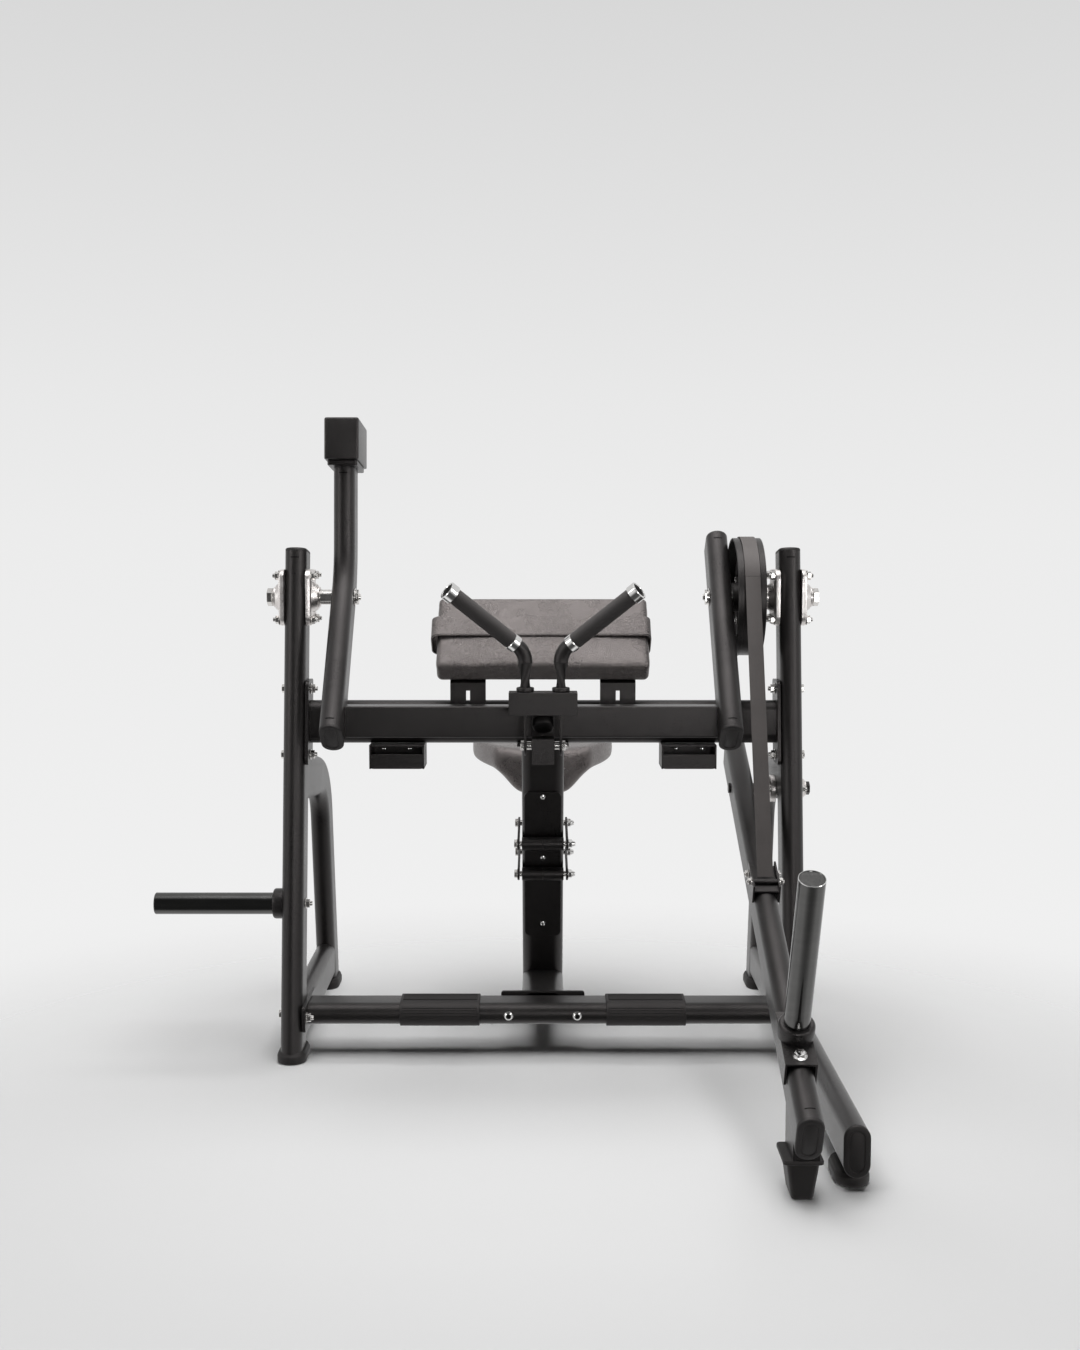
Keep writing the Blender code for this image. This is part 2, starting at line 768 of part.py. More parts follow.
def make_low_crossbar():
    plates = []
    for side in (-1, 1):
        low, high = sorted((side * (FACE_IN - GAP), side * (FACE_IN - GAP - END_PLATE)))
        plates.append(block((low, LOW_BAR_Y - LOW_BAR_PLATE_Y / 2, LOW_BAR_Z - LOW_BAR_PLATE_Z / 2),
                            (high, LOW_BAR_Y + LOW_BAR_PLATE_Y / 2, LOW_BAR_Z + LOW_BAR_PLATE_Z / 2)))
    add_piece("low_crossbar", "frame", "powder_coat", plated_tube(LOW_BAR_Y, LOW_BAR_Z, UP, plates))


def make_foot_pads():
    """Ribbed rubber sleeves round the low crossbar, with their ribs on top."""
    inner = stadium(TUBE_TALL + 2 * GAP, TUBE_WIDE + 2 * GAP)
    outer = stadium(TUBE_TALL + 2 * FOOT_PAD_THICK, TUBE_WIDE + 2 * FOOT_PAD_THICK)
    top = LOW_BAR_Z + TUBE_WIDE / 2 + FOOT_PAD_THICK
    for side, name in ((-1, "left"), (1, "right")):
        low_x, high_x = sorted((side * FOOT_PAD_INNER_X, side * FOOT_PAD_OUTER_X))
        pad = sweep(bent_path([(x, LOW_BAR_Y, LOW_BAR_Z) for x in (low_x, high_x)]), outer, inner, UP)
        ribs = []
        for step in range(FOOT_PAD_RIBS):
            y = LOW_BAR_Y + (step - (FOOT_PAD_RIBS - 1) / 2) * FOOT_PAD_PITCH
            ribs.append(block((low_x, y - FOOT_PAD_PITCH / 4, top - FOOT_PAD_RIB / 2),
                              (high_x, y + FOOT_PAD_PITCH / 4, top + FOOT_PAD_RIB)))
        add_piece("foot_pad_" + name, "frame", "black_rubber", join(pad, *ribs))


def pad_bracket(side):
    """Slotted upright plate on the beam that bends to lie under the pad."""
    rear_y = BEAM_Y - TUBE_WIDE / 2 + WELD
    front_y = rear_y - WELD - PAD_BRACKET
    under = Vector((0, PAD_FRONT_Y, PAD_FRONT_Z)) - PAD_OUT * (PAD_THICK + GAP)

    def on_line(offset, y):
        start = under - PAD_OUT * offset
        return start + PAD_UP * ((y - start.y) / PAD_UP.y)

    turn_y = front_y + PAD_BRACKET
    top = under + PAD_UP * (BAND_FROM - PAD_BRACKET_SHORT)
    far = top - PAD_OUT * PAD_BRACKET
    bend = on_line(PAD_BRACKET, turn_y)
    start = on_line(0, max(front_y, under.y))
    points = [(front_y, PAD_BRACKET_LOW_Z), (rear_y, PAD_BRACKET_LOW_Z), (rear_y, BEAM_Z),
              (turn_y, BEAM_Z + TUBE_TALL / 2), (turn_y, bend.z), (far.y, far.z), (top.y, top.z),
              (start.y, start.z)]
    if start.y > front_y:
        points.append((front_y, start.z))
    x = side * PAD_BRACKET_X
    plate = prism(points, x - PAD_BRACKET_WIDE / 2, x + PAD_BRACKET_WIDE / 2)
    slot = block((x - PAD_SLOT_WIDE / 2, front_y - PAD_BRACKET, PAD_SLOT_Z - PAD_SLOT_TALL / 2),
                 (x + PAD_SLOT_WIDE / 2, rear_y + PAD_BRACKET, PAD_SLOT_Z + PAD_SLOT_TALL / 2))
    return cut(plate, slot)


def make_beam():
    plates = []
    for side in (-1, 1):
        half_z = BEAM_PLATE_Z / 2
        shift = UPRIGHT_LEAN * half_z
        corners = [(BEAM_Y + sign_y * BEAM_PLATE_Y / 2 + sign_z * shift, BEAM_Z + sign_z * half_z)
                   for sign_y, sign_z in ((-1, -1), (1, -1), (1, 1), (-1, 1))]
        plates.append(prism(corners, side * (FACE_IN - GAP), side * (FACE_IN - GAP - END_PLATE)))
    beam = plated_tube(BEAM_Y, BEAM_Z, BACK, plates)
    add_piece("fixed_beam", "frame", "powder_coat", join(beam, pad_bracket(-1), pad_bracket(1)))


def make_trays():
    top = BEAM_Z - TUBE_TALL / 2 - GAP
    for side, name in ((-1, "left"), (1, "right")):
        low = Vector((side * TRAY_X - TRAY_WIDE / 2, BEAM_Y - TRAY_DEEP / 2, TRAY_LOW_Z))
        high = Vector((side * TRAY_X + TRAY_WIDE / 2, BEAM_Y + TRAY_DEEP / 2, top))
        wall = Vector((TRAY_SHEET, TRAY_SHEET, TRAY_SHEET))
        mouth = block((low.x + TRAY_SHEET, low.y - TRAY_SHEET, TRAY_LIP_Z),
                      (high.x - TRAY_SHEET, low.y + 2 * TRAY_SHEET, high.z - TRAY_SHEET))
        add_piece("tray_" + name, "frame", "powder_coat",
                  cut(block(low, high), block(low + wall, high - wall), mouth))


# Pivots and bearings

def flange_bearing(face, outward, outline, hub_r, race_r, bore_r, hint):
    """Cast bearing: flange, tapered hub and race round a turning shaft."""
    plate = loft([ring_at(face + outward * distance, outline, outward, hint)
                  for distance in (GAP, BEARING_PLATE)])
    hub_end = BEARING_PLATE + BEARING_HUB
    levels = ((BEARING_PLATE / 2, hub_r), (BEARING_PLATE, hub_r), (hub_end, BEARING_HUB_TAPER * hub_r),
              (hub_end, race_r), (hub_end + BEARING_RACE, race_r))
    hub = turned(face, outward, levels, SHAFT_SIDES)
    bore = rod(face - outward * BEARING_PLATE, face + outward * 2 * hub_end,
               hole_radius(bore_r, SHAFT_SIDES, RUN_CLEAR), SHAFT_SIDES)
    return cut(join(plate, hub), bore)


def make_bearings():
    outline = rounded_rectangle(BEARING_Y, BEARING_Z, BEARING_ROUND)
    for side, name in ((-1, "left"), (1, "right")):
        for face, way, spot in ((FACE_IN, -1, "inner"), (FACE_OUT, 1, "outer")):
            bearing = flange_bearing(Vector((side * face, PIVOT_Y, PIVOT_Z)), RIGHT * side * way, outline,
                                     BEARING_HUB_R, BEARING_RACE_R, SHAFT_R, UP)
            add_piece("lever_bearing_" + name + "_" + spot, "frame", "cast_housing", bearing)
    oval = stadium(ARM_BEARING_LONG, ARM_BEARING_TALL)
    hint = RIGHT.cross(leg_slope())
    for face, way, spot in ((FACE_IN, -1, "inner"), (FACE_OUT, 1, "outer")):
        bearing = flange_bearing(ARM_PIVOT + RIGHT * face, RIGHT * way, oval, ARM_BEARING_HUB_R,
                                 ARM_BEARING_RACE_R, ARM_SHAFT_R, hint)
        add_piece("arm_bearing_" + spot, "frame", "cast_housing", bearing)


# Lever

def lever_point(distance, x=0.0):
    """Place on the lower arms' line; a positive distance is below the axis."""
    return Vector((x, PIVOT_Y, PIVOT_Z)) + LEVER_DOWN * distance


def upper_lever_way():
    return Vector((0, math.sin(LEVER_UPPER_LEAN), math.cos(LEVER_UPPER_LEAN)))


def lever_top():
    corner = lever_point(-LEVER_CORNER, -LEVER_LEFT_X)
    rise = LEVER_TOP_Z - corner.z
    return corner + Vector((0, rise * math.tan(LEVER_UPPER_LEAN), rise))


def shaft_bore(x):
    axis = Vector((x, PIVOT_Y, PIVOT_Z))
    return rod(axis - RIGHT * TUBE_WIDE, axis + RIGHT * TUBE_WIDE, hole_radius(SHAFT_R, SHAFT_SIDES, GAP),
               SHAFT_SIDES)


def make_lever():
    corner = lever_point(-LEVER_CORNER, -LEVER_LEFT_X)
    top = lever_top()
    left = oval_tube((lever_point(LEVER_LOWER, -LEVER_LEFT_X), corner, top), LEVER_BEND)
    along = upper_lever_way()
    outline = rounded_rectangle(BLOCK_PLATE_DEEP, BLOCK_PLATE_WIDE, BLOCK_ROUND)
    plate = sweep(bent_path((top - along * WELD, top + along * BLOCK_PLATE)), outline)
    add_piece("lever_arm_left", "lever", "powder_coat", join(cut(left, shaft_bore(-LEVER_LEFT_X)), plate))
    right = plugged_tube(lever_point(LEVER_LOWER, LEVER_RIGHT_X), lever_point(-LEVER_STUB, LEVER_RIGHT_X))
    add_piece("lever_arm_right", "lever", "powder_coat", cut(right, shaft_bore(LEVER_RIGHT_X)))
    add_piece("lever_cap_left", "lever", "black_rubber",
              end_cap(lever_point(LEVER_LOWER, -LEVER_LEFT_X), LEVER_DOWN))
    add_piece("lever_cap_right", "lever", "black_rubber",
              end_cap(lever_point(LEVER_LOWER, LEVER_RIGHT_X), LEVER_DOWN))


def make_moving_crossbar():
    low = -LEVER_LEFT_X + TUBE_WIDE / 2 + GAP
    high = LEVER_RIGHT_X - TUBE_WIDE / 2 - GAP
    ends = [(x, CROSS_DEEP / 2, CROSS_Z) for x in (low, high)]
    outer = rounded_rectangle(CROSS_TALL, CROSS_DEEP, CROSS_CORNER)
    inner = rounded_rectangle(CROSS_TALL - 2 * CROSS_WALL, CROSS_DEEP - 2 * CROSS_WALL,
                              CROSS_CORNER - CROSS_WALL / 2)
    add_piece("moving_crossbar", "lever", "powder_coat", sweep(bent_path(ends), outer, inner, BACK))


def make_counterweight():
    """Solid block on the left lever's top plate, with its edges broken."""
    low = lever_top() + upper_lever_way() * (BLOCK_PLATE + GAP)
    levels = ((0, BLOCK_EDGE), (BLOCK_EDGE, 0), (BLOCK_TALL - 2 * BLOCK_EDGE, 0),
              (BLOCK_TALL - BLOCK_EDGE / 2, BLOCK_EDGE), (BLOCK_TALL, 3 * BLOCK_EDGE))
    way = upper_lever_way()
    rings = [ring_at(low + way * rise, rounded_rectangle(BLOCK_DEEP - trim, BLOCK_WIDE - trim, BLOCK_ROUND),
                     way, RIGHT) for rise, trim in levels]
    add_piece("counterweight", "lever", "powder_coat", loft(rings))


def make_shafts():
    for side, name, start in ((-1, "left", LEFT_SHAFT_IN_X), (1, "right", RIGHT_SHAFT_IN_X)):
        nut = SHAFT_END_X - start - SHAFT_NUT
        levels = ((0, SHAFT_R), (nut, SHAFT_R), (nut, SHAFT_NUT_R),
                  (nut + SHAFT_NUT - SHAFT_NUT_EDGE, SHAFT_NUT_R),
                  (nut + SHAFT_NUT, SHAFT_NUT_R - SHAFT_NUT_EDGE))
        add_piece("lever_shaft_" + name, "lever", "bright_steel",
                  turned((side * start, PIVOT_Y, PIVOT_Z), RIGHT * side, levels, SHAFT_SIDES))


def make_cam():
    """Wheel with a deep rim, a web and a hub that is keyed to the right shaft."""
    bore = hole_radius(SHAFT_R, CAM_SIDES, GAP)
    rim = CAM_R - CAM_RIM
    web_in = (CAM_WIDE - CAM_WEB) / 2
    web_out = (CAM_WIDE + CAM_WEB) / 2
    loop = ((0, CAM_HUB_R), (web_in, CAM_HUB_R), (web_in, rim), (0, rim), (0, CAM_R), (CAM_WIDE, CAM_R),
            (CAM_WIDE, rim), (web_out, rim), (web_out, CAM_HUB_R), (CAM_WIDE, CAM_HUB_R),
            (CAM_WIDE, bore), (0, bore))
    start = Vector((CAM_X - CAM_WIDE / 2, PIVOT_Y, PIVOT_Z))
    add_piece("cam", "lever", "powder_coat", turned_ring(start, RIGHT, loop, CAM_SIDES))


def make_belt():
    start, touch, tilt = belt_tangent()
    centre = Vector((CAM_X, PIVOT_Y, PIVOT_Z))
    finish = math.pi / 2 - BELT_PAST_TOP
    step_turn = (finish - tilt) / BELT_STEPS
    inner = (CAM_R + GAP) / math.cos(step_turn / 2)
    corners = ((inner, -1), (inner + BELT_THICK, -1), (inner + BELT_THICK, 1), (inner, 1))
    rings = []
    for step in range(BELT_STEPS + 1):
        turn = tilt + step_turn * step
        out = Vector((0, math.cos(turn), math.sin(turn)))
        rings.append([centre + out * radius + RIGHT * side * BELT_WIDE / 2 for radius, side in corners])
    add_piece("belt_wrap", "lever", "belt_grey", loft(rings))
    along = (touch - start).normalized()
    outline = rounded_rectangle(BELT_THICK, BELT_WIDE, BELT_THICK / 4, 1)
    ends = [start + RIGHT * CAM_X + along * (CLEVIS_PIN_R + GAP), touch + RIGHT * CAM_X - along * 2 * GAP]
    add_piece("belt_run", "belt", "belt_grey", sweep(bent_path(ends), outline))


# Handles

def yoke_bore(centre, clearance):
    """Cutter for the pin that the handles swing on."""
    reach = RIGHT * YOKE_WIDE
    return rod(centre - reach, centre + reach, hole_radius(YOKE_PIN_R, PIN_SIDES, clearance), PIN_SIDES)


def make_hub():
    along = -LEVER_DOWN
    across = RIGHT.cross(along)
    face = Vector((0, BUMPER_Y, BUMPER_Z)) + along * (BUMPER_LONG / 2 + GAP)
    ends = [face - across * BUMPER_R, face + across * BUMPER_R]
    front, rear = sorted(ends, key=lambda end: end.y)
    thick = along * HUB_SEAT
    drop = (-HUB_PLATE - front.y - thick.y) / (rear.y - front.y)
    meet = front + thick + (rear - front) * drop
    points = [(-GAP, HUB_BOTTOM_Z), (HUB_FRONT_Y, HUB_BOTTOM_Z), (HUB_FRONT_Y, HUB_TOP_Z),
              (rear.y - HUB_STEP, HUB_TOP_Z), (rear.y, rear.z), (front.y, front.z),
              (front.y + thick.y, front.z + thick.z), (-HUB_PLATE, meet.z), (-HUB_PLATE, HUB_PLATE_TOP_Z),
              (-GAP, HUB_PLATE_TOP_Z)]
    pin = Vector((0, YOKE_PIVOT_Y, YOKE_PIVOT_Z))
    bore = yoke_bore(pin, RUN_CLEAR)
    add_piece("handle_hub", "lever", "powder_coat", cut(prism(points, -HUB_HALF, HUB_HALF), bore))
    low = Vector((0, BUMPER_Y, BUMPER_Z)) - along * BUMPER_LONG / 2
    add_piece("bumper", "lever", "black_rubber",
              turned(low, along, ((0, BUMPER_R - BUMPER_EDGE), (BUMPER_EDGE, BUMPER_R),
                                  (BUMPER_LONG, BUMPER_R)), BUMPER_SIDES))


def handle_path(side):
    top = YOKE_Z + YOKE_SQUARE / 2
    tip = Vector((side * HANDLE_TIP[0], HANDLE_TIP[1], HANDLE_TIP[2]))
    return Vector((side * HANDLE_X, YOKE_Y, top)), Vector((side * HANDLE_X, YOKE_Y, HANDLE_CORNER_Z)), tip


def grip_places(side):
    """Ends of a handle's chrome collar, foam grip and end cap along its slope."""
    corner, tip = handle_path(side)[1:]
    along = (tip - corner).normalized()
    collar = corner + along * GRIP_COLLAR_AT
    cap = tip - along * (GRIP_TIP - TUBE_WALL)
    return along, collar, cap


def make_yoke():
    """Welded yoke: block, two side plates and two bent handle tubes."""
    half = YOKE_SQUARE / 2
    middle = Vector((0, YOKE_Y, YOKE_Z))
    corner = Vector((YOKE_WIDE / 2, half, half))
    body = block(middle - corner, middle + corner, YOKE_EDGE)
    pin = Vector((0, YOKE_PIVOT_Y, YOKE_PIVOT_Z))
    parts = []
    for side in (-1, 1):
        low, high = sorted((side * YOKE_PLATE_X, side * (YOKE_PLATE_X + YOKE_PLATE)))
        parts.append(block((low, YOKE_PIVOT_Y - YOKE_PLATE_Y / 2, YOKE_PIVOT_Z - YOKE_PLATE_BELOW),
                           (high, YOKE_PIVOT_Y + YOKE_PLATE_Y / 2, YOKE_Z - half + YOKE_EDGE + WELD)))
        foot, corner, tip = handle_path(side)
        along, collar, _ = grip_places(side)
        sunk = foot - UP * HANDLE_RING
        parts.append(sweep(bent_path((sunk, corner, tip), HANDLE_BEND), circle(HANDLE_R, HANDLE_SIDES),
                           circle(HANDLE_R - TUBE_WALL, HANDLE_SIDES), BACK))
        weld_r = HANDLE_R - WELD
        parts.append(sleeve(sunk, UP, 2 * HANDLE_RING, HANDLE_RING_R, weld_r, HANDLE_SIDES))
        parts.append(sleeve(collar, along, GRIP_COLLAR, GRIP_COLLAR_R, weld_r, HANDLE_SIDES))
    yoke = cut(join(body, *parts), yoke_bore(pin, GAP))
    add_piece("handle_yoke", "handles", "powder_coat", yoke)
    add_piece("yoke_pin", "handles", "bright_steel", yoke_pin(pin))


def yoke_pin(centre):
    """Pin with a head, a bush on each side of the hub, and a nut."""
    plate_out = YOKE_PLATE_X + YOKE_PLATE + GAP
    bush_in = HUB_HALF + GAP
    bush_out = YOKE_PLATE_X - GAP
    half = [(bush_in, YOKE_PIN_R), (bush_in, YOKE_BUSH_R), (bush_out, YOKE_BUSH_R), (bush_out, YOKE_PIN_R),
            (plate_out, YOKE_PIN_R), (plate_out, YOKE_PIN_HEAD_R)]
    head_out = plate_out + YOKE_PIN_HEAD
    head = [(head_out - YOKE_PIN_EDGE, YOKE_PIN_HEAD_R), (head_out, YOKE_PIN_HEAD_R - YOKE_PIN_EDGE)]
    nut = [(head_out, YOKE_PIN_HEAD_R), (head_out + YOKE_PIN_DOME, YOKE_PIN_DOME_R)]
    left = [(-distance, radius) for distance, radius in reversed(half + head)]
    return turned(centre, RIGHT, left + half + nut, PIN_SIDES)


def make_grips():
    bore = hole_radius(HANDLE_R, HANDLE_SIDES, GAP)
    for side, name in ((-1, "left"), (1, "right")):
        along, collar, cap = grip_places(side)
        add_piece("grip_cap_" + name, "handles", "bright_steel",
                  sleeve(cap, along, GRIP_TIP, GRIP_TIP_R, bore, HANDLE_SIDES))
        start = collar + along * (GRIP_COLLAR + GAP)
        add_piece("grip_" + name, "handles", "foam_grip",
                  sleeve(start, along, (cap - start).length - GAP, GRIP_R, bore, HANDLE_SIDES))


# Weight arm

def saddle_piece(back, front, half, wall, drop, rise=0.0):
    """Inverted U over the weight arm; a rise lifts its sides above its roof."""
    roof = TUBE_TALL / 2 + GAP
    inner = half - wall
    low = roof - drop
    outline = [(-half, low), (-inner, low), (-inner, roof), (inner, roof), (inner, low), (half, low),
               (half, roof + wall + rise)]
    if rise:
        outline += [(inner, roof + wall + rise), (inner, roof + wall), (-inner, roof + wall),
                    (-inner, roof + wall + rise)]
    outline.append((-half, roof + wall + rise))
    return loft([[arm_place(distance, up, CAM_X + x) for x, up in outline] for distance in (back, front)])


def make_weight_arm():
    """Arm with its pivot shaft and the wedge above its foot welded on."""
    rear = arm_place(-ARM_REAR, 0)
    front = arm_place(ARM_FRONT, 0)
    slope = ARM_FORWARD.z / ARM_FORWARD.y
    half_y = ARM_FOOT_LONG / 2 - ARM_FOOT_INSET
    half_x = ARM_FOOT_NARROW / 2 - ARM_FOOT_INSET
    low_z = ARM_FOOT_TOP_Z + GAP
    within = arm_place(ARM_FRONT, -TUBE_TALL / 2 + TUBE_WIDE / 2, 0)
    points = [(ARM_FOOT_Y - half_y, low_z), (ARM_FOOT_Y + half_y, low_z)]
    points += [(y, within.z + (y - within.y) * slope) for y in (ARM_FOOT_Y + half_y, ARM_FOOT_Y - half_y)]
    beyond = ARM_FORWARD * TUBE_TALL
    wedge = cut(prism(points, CAM_X - half_x, CAM_X + half_x),
                oval_cutter((rear - beyond, front + beyond), RIGHT, -TUBE_WALL / 2))
    reach = ARM_SHAFT_OUT_X - ARM_SHAFT_IN_X
    nut = reach - ARM_SHAFT_NUT
    levels = ((0, ARM_SHAFT_R), (nut, ARM_SHAFT_R), (nut, ARM_SHAFT_NUT_R), (reach, ARM_SHAFT_NUT_R))
    shaft = turned(ARM_PIVOT + RIGHT * ARM_SHAFT_IN_X, RIGHT, levels, ARM_SHAFT_SIDES)
    add_piece("weight_arm", "weight_arm", "powder_coat", join(plugged_tube(front, rear), wedge, shaft))
    add_piece("weight_arm_cap", "weight_arm", "black_rubber", end_cap(front, ARM_FORWARD))


def make_arm_foot():
    """Tall rubber foot: a flange above a block that narrows to the floor."""
    under = ARM_FOOT_TOP_Z - ARM_FOOT_FLANGE
    trim = 2 * FOOT_ROUND
    levels = ((0, ARM_FOOT_TIP_LONG - trim, ARM_FOOT_TIP_WIDE - trim),
              (FOOT_ROUND, ARM_FOOT_TIP_LONG, ARM_FOOT_TIP_WIDE),
              (under, ARM_FOOT_LONG - trim, ARM_FOOT_NARROW), (under, ARM_FOOT_LONG, ARM_FOOT_WIDE),
              (ARM_FOOT_TOP_Z, ARM_FOOT_LONG, ARM_FOOT_WIDE))
    rings = [ring_at((ARM_FOOT_X, ARM_FOOT_Y, z), rounded_rectangle(tall, wide, ARM_FOOT_CORNER), UP, RIGHT)
             for z, tall, wide in levels]
    add_piece("weight_arm_foot", "weight_arm", "black_rubber", loft(rings))


def horn_sleeve(start, axis, reach):
    return turned(start, axis, ((0, HORN_R), (reach - HORN_EDGE, HORN_R), (reach, HORN_R - HORN_EDGE)),
                  HORN_SIDES)


def make_horn():
    roof = TUBE_TALL / 2 + GAP + SADDLE_WALL
    bracket = saddle_piece(SADDLE_BACK, SADDLE_FRONT, SADDLE_HALF, SADDLE_WALL, SADDLE_DROP)
    collar = welded_collar(arm_place(HORN_AT, roof - WELD), ARM_UP, HORN_COLLAR)
    add_piece("horn_bracket", "weight_arm", "powder_coat", join(bracket, collar))
    start = roof + HORN_COLLAR + GAP
    horn = horn_sleeve(arm_place(HORN_AT, start), ARM_UP, HORN_TOP - start)
    add_piece("weight_horn", "weight_arm", "dark_chrome", horn)


def make_clevis():
    """Saddle whose raised sides hold the pin that the belt's end hangs on."""
    saddle = saddle_piece(CLEVIS_AT - CLEVIS_LONG / 2, CLEVIS_AT + CLEVIS_LONG / 2, CLEVIS_HALF, CLEVIS_WALL,
                          CLEVIS_DROP, CLEVIS_RISE)
    middle = arm_place(BELT_END_AT, BELT_END_UP)
    half = RIGHT * (CLEVIS_HALF - CLEVIS_WALL + WELD)
    pin = rod(middle - half, middle + half, CLEVIS_PIN_R, PIN_SIDES)
    add_piece("belt_clevis", "weight_arm", "powder_coat", join(saddle, pin))


def make_storage_horn():
    low = FACE_OUT + STORE_COLLAR + GAP
    start = Vector((-low, upright_y(STORE_Z), STORE_Z))
    add_piece("storage_horn", "frame", "dark_chrome", horn_sleeve(start, -RIGHT, STORE_OUT_X - low))


# Arm pad

def lattice_box(lines):
    """Closed box surface whose points lie on three lists of lattice lines."""
    solid = bmesh.new()
    points = {}

    def vertex(key):
        if key not in points:
            points[key] = solid.verts.new([lines[axis][key[axis]] for axis in range(3)])
        return points[key]

    for axis in range(3):
        first, second = [other for other in range(3) if other != axis]
        for end in (0, len(lines[axis]) - 1):
            for i in range(len(lines[first]) - 1):
                for j in range(len(lines[second]) - 1):
                    corners = []
                    for step_i, step_j in ((0, 0), (1, 0), (1, 1), (0, 1)):
                        key = [0, 0, 0]
                        key[axis] = end
                        key[first] = i + step_i
                        key[second] = j + step_j
                        corners.append(vertex(tuple(key)))
                    solid.faces.new(corners)
    bmesh.ops.recalc_face_normals(solid, faces=solid.faces)
    return solid


def spaced(half, rounding, count):
    """Lattice lines from -half to half, closer together at the rounded ends."""
    inner = half - rounding
    middle = [-inner + 2 * inner * step / count for step in range(count + 1)]
    outer = half - ROUND_STEP * rounding
    return [-half, -outer] + middle + [outer, half]


def round_corner(point, halves, rounding):
    """Pull a box's surface point in to a rounded box."""
    core = Vector([max(rounding - half, min(half - rounding, value)) for value, half in zip(point, halves)])
    off = Vector(point) - core
    return core + off.normalized() * rounding if off.length > 1e-9 else core


def pad_shape(x, along, out):
    """Cushion place from flat pad coordinates: crown above, drawn-in sides."""
    half_x = PAD_WIDE / 2
    half_a = PAD_LONG / 2
    half_t = PAD_THICK / 2
    place = round_corner((x, along, out), (half_x, half_a, half_t), PAD_ROUND)
    bulge_x = max(0.0, 1 - (place.x / half_x) ** 2)
    bulge_a = max(0.0, 1 - (place.y / half_a) ** 2)
    if place.z > 0:
        place.z += (place.z / half_t) * (PAD_CROWN * bulge_x * bulge_a - PAD_CROWN)
    place.x *= 1 - PAD_DRAW / half_x * bulge_a * (1 - abs(place.z) / half_t)
    place.y *= 1 - PAD_DRAW / half_a * bulge_x * (1 - abs(place.z) / half_t)
    return place


def pad_place(local):
    """Machine-frame place of a pad point; local is (x, along, out)."""
    front = Vector((0, PAD_FRONT_Y, PAD_FRONT_Z))
    return (front + PAD_UP * (local.y + PAD_LONG / 2) + PAD_OUT * (local.z - PAD_THICK / 2) + RIGHT * local.x)


def band_lines():
    start = BAND_FROM - PAD_LONG / 2
    return [start + BAND_WIDE * step / 2 for step in range(3)]


def make_pad():
    lines_x = spaced(PAD_WIDE / 2, PAD_ROUND, 8)
    ends = spaced(PAD_LONG / 2, PAD_ROUND, 2)
    lines_a = sorted(ends[:3] + band_lines() + ends[-3:])
    lines_t = spaced(PAD_THICK / 2, PAD_ROUND, 1)
    solid = lattice_box((lines_x, lines_a, lines_t))
    for vertex in solid.verts:
        vertex.co = pad_place(pad_shape(*vertex.co))
    bmesh.ops.recalc_face_normals(solid, faces=solid.faces)
    add_piece("arm_pad", "frame", "pad_leather", solid)
    outer_rings = []
    inner_rings = []
    for along in band_lines():
        rim = [(x, lines_t[-1]) for x in lines_x] + [(lines_x[-1], t) for t in reversed(lines_t[1:-1])]
        rim += [(x, lines_t[0]) for x in reversed(lines_x)] + [(lines_x[0], t) for t in lines_t[1:-1]]
        base = [pad_shape(x, along, t) for x, t in rim]
        near = []
        far = []
        for place, (x, t) in zip(base, rim):
            out = Vector((x / (PAD_WIDE / 2), 0, t / (PAD_THICK / 2)))
            edge = Vector((out.x if abs(x) > PAD_WIDE / 2 - PAD_ROUND / 2 else 0, 0,
                           out.z if abs(t) > PAD_THICK / 2 - PAD_ROUND / 2 else 0))
            slack = BAND_SLACK if x < -PAD_WIDE / 2 + PAD_ROUND / 2 else GAP
            shift = Vector((edge.x * slack, 0, edge.z * GAP))
            near.append(pad_place(place + shift))
            far.append(pad_place(place + shift + Vector((edge.x * BAND_THICK, 0, edge.z * BAND_THICK))))
        inner_rings.append(near)
        outer_rings.append(far)
    add_piece("pad_band", "frame", "black_rubber", loft(outer_rings, inner_rings))


# Centre column and seat

def make_centre():
    """Base tube behind the crossbar, and the leaning column that stands on it."""
    plate_y = LOW_BAR_Y + TUBE_TALL / 2 + GAP
    plate = block((-CENTRE_PLATE_WIDE / 2, plate_y, LOW_BAR_Z - CENTRE_PLATE_TALL / 2),
                  (CENTRE_PLATE_WIDE / 2, plate_y + END_PLATE, LOW_BAR_Z + CENTRE_PLATE_TALL / 2))
    hollow = oval_cutter(((0, 0, LOW_BAR_Z), (0, CENTRE_BASE_REAR_Y, LOW_BAR_Z)), UP, -TUBE_WALL)
    tube = plugged_tube(Vector((0, plate_y + END_PLATE - WELD, LOW_BAR_Z)),
                        Vector((0, CENTRE_BASE_REAR_Y, LOW_BAR_Z)), UP)
    add_piece("centre_base_tube", "frame", "powder_coat", join(tube, cut(plate, hollow)))
    low_z = LOW_BAR_Z + TUBE_WIDE / 2 + GAP
    high_z = BEAM_Z - TUBE_TALL / 2 - GAP - COLUMN_PLATE
    column = oval_tube(((0, column_y(low_z), low_z), (0, column_y(high_z), high_z + WELD)), hint=BACK,
                       start_plane=((0, 0, low_z), UP), end_plane=((0, 0, high_z + WELD), UP))
    front_y = BEAM_Y - TUBE_WIDE / 2
    top_plate = block((-COLUMN_PLATE_WIDE / 2, front_y, high_z),
                      (COLUMN_PLATE_WIDE / 2, front_y + COLUMN_PLATE_DEEP, high_z + COLUMN_PLATE))
    add_piece("centre_column", "frame", "powder_coat", join(column, top_plate))


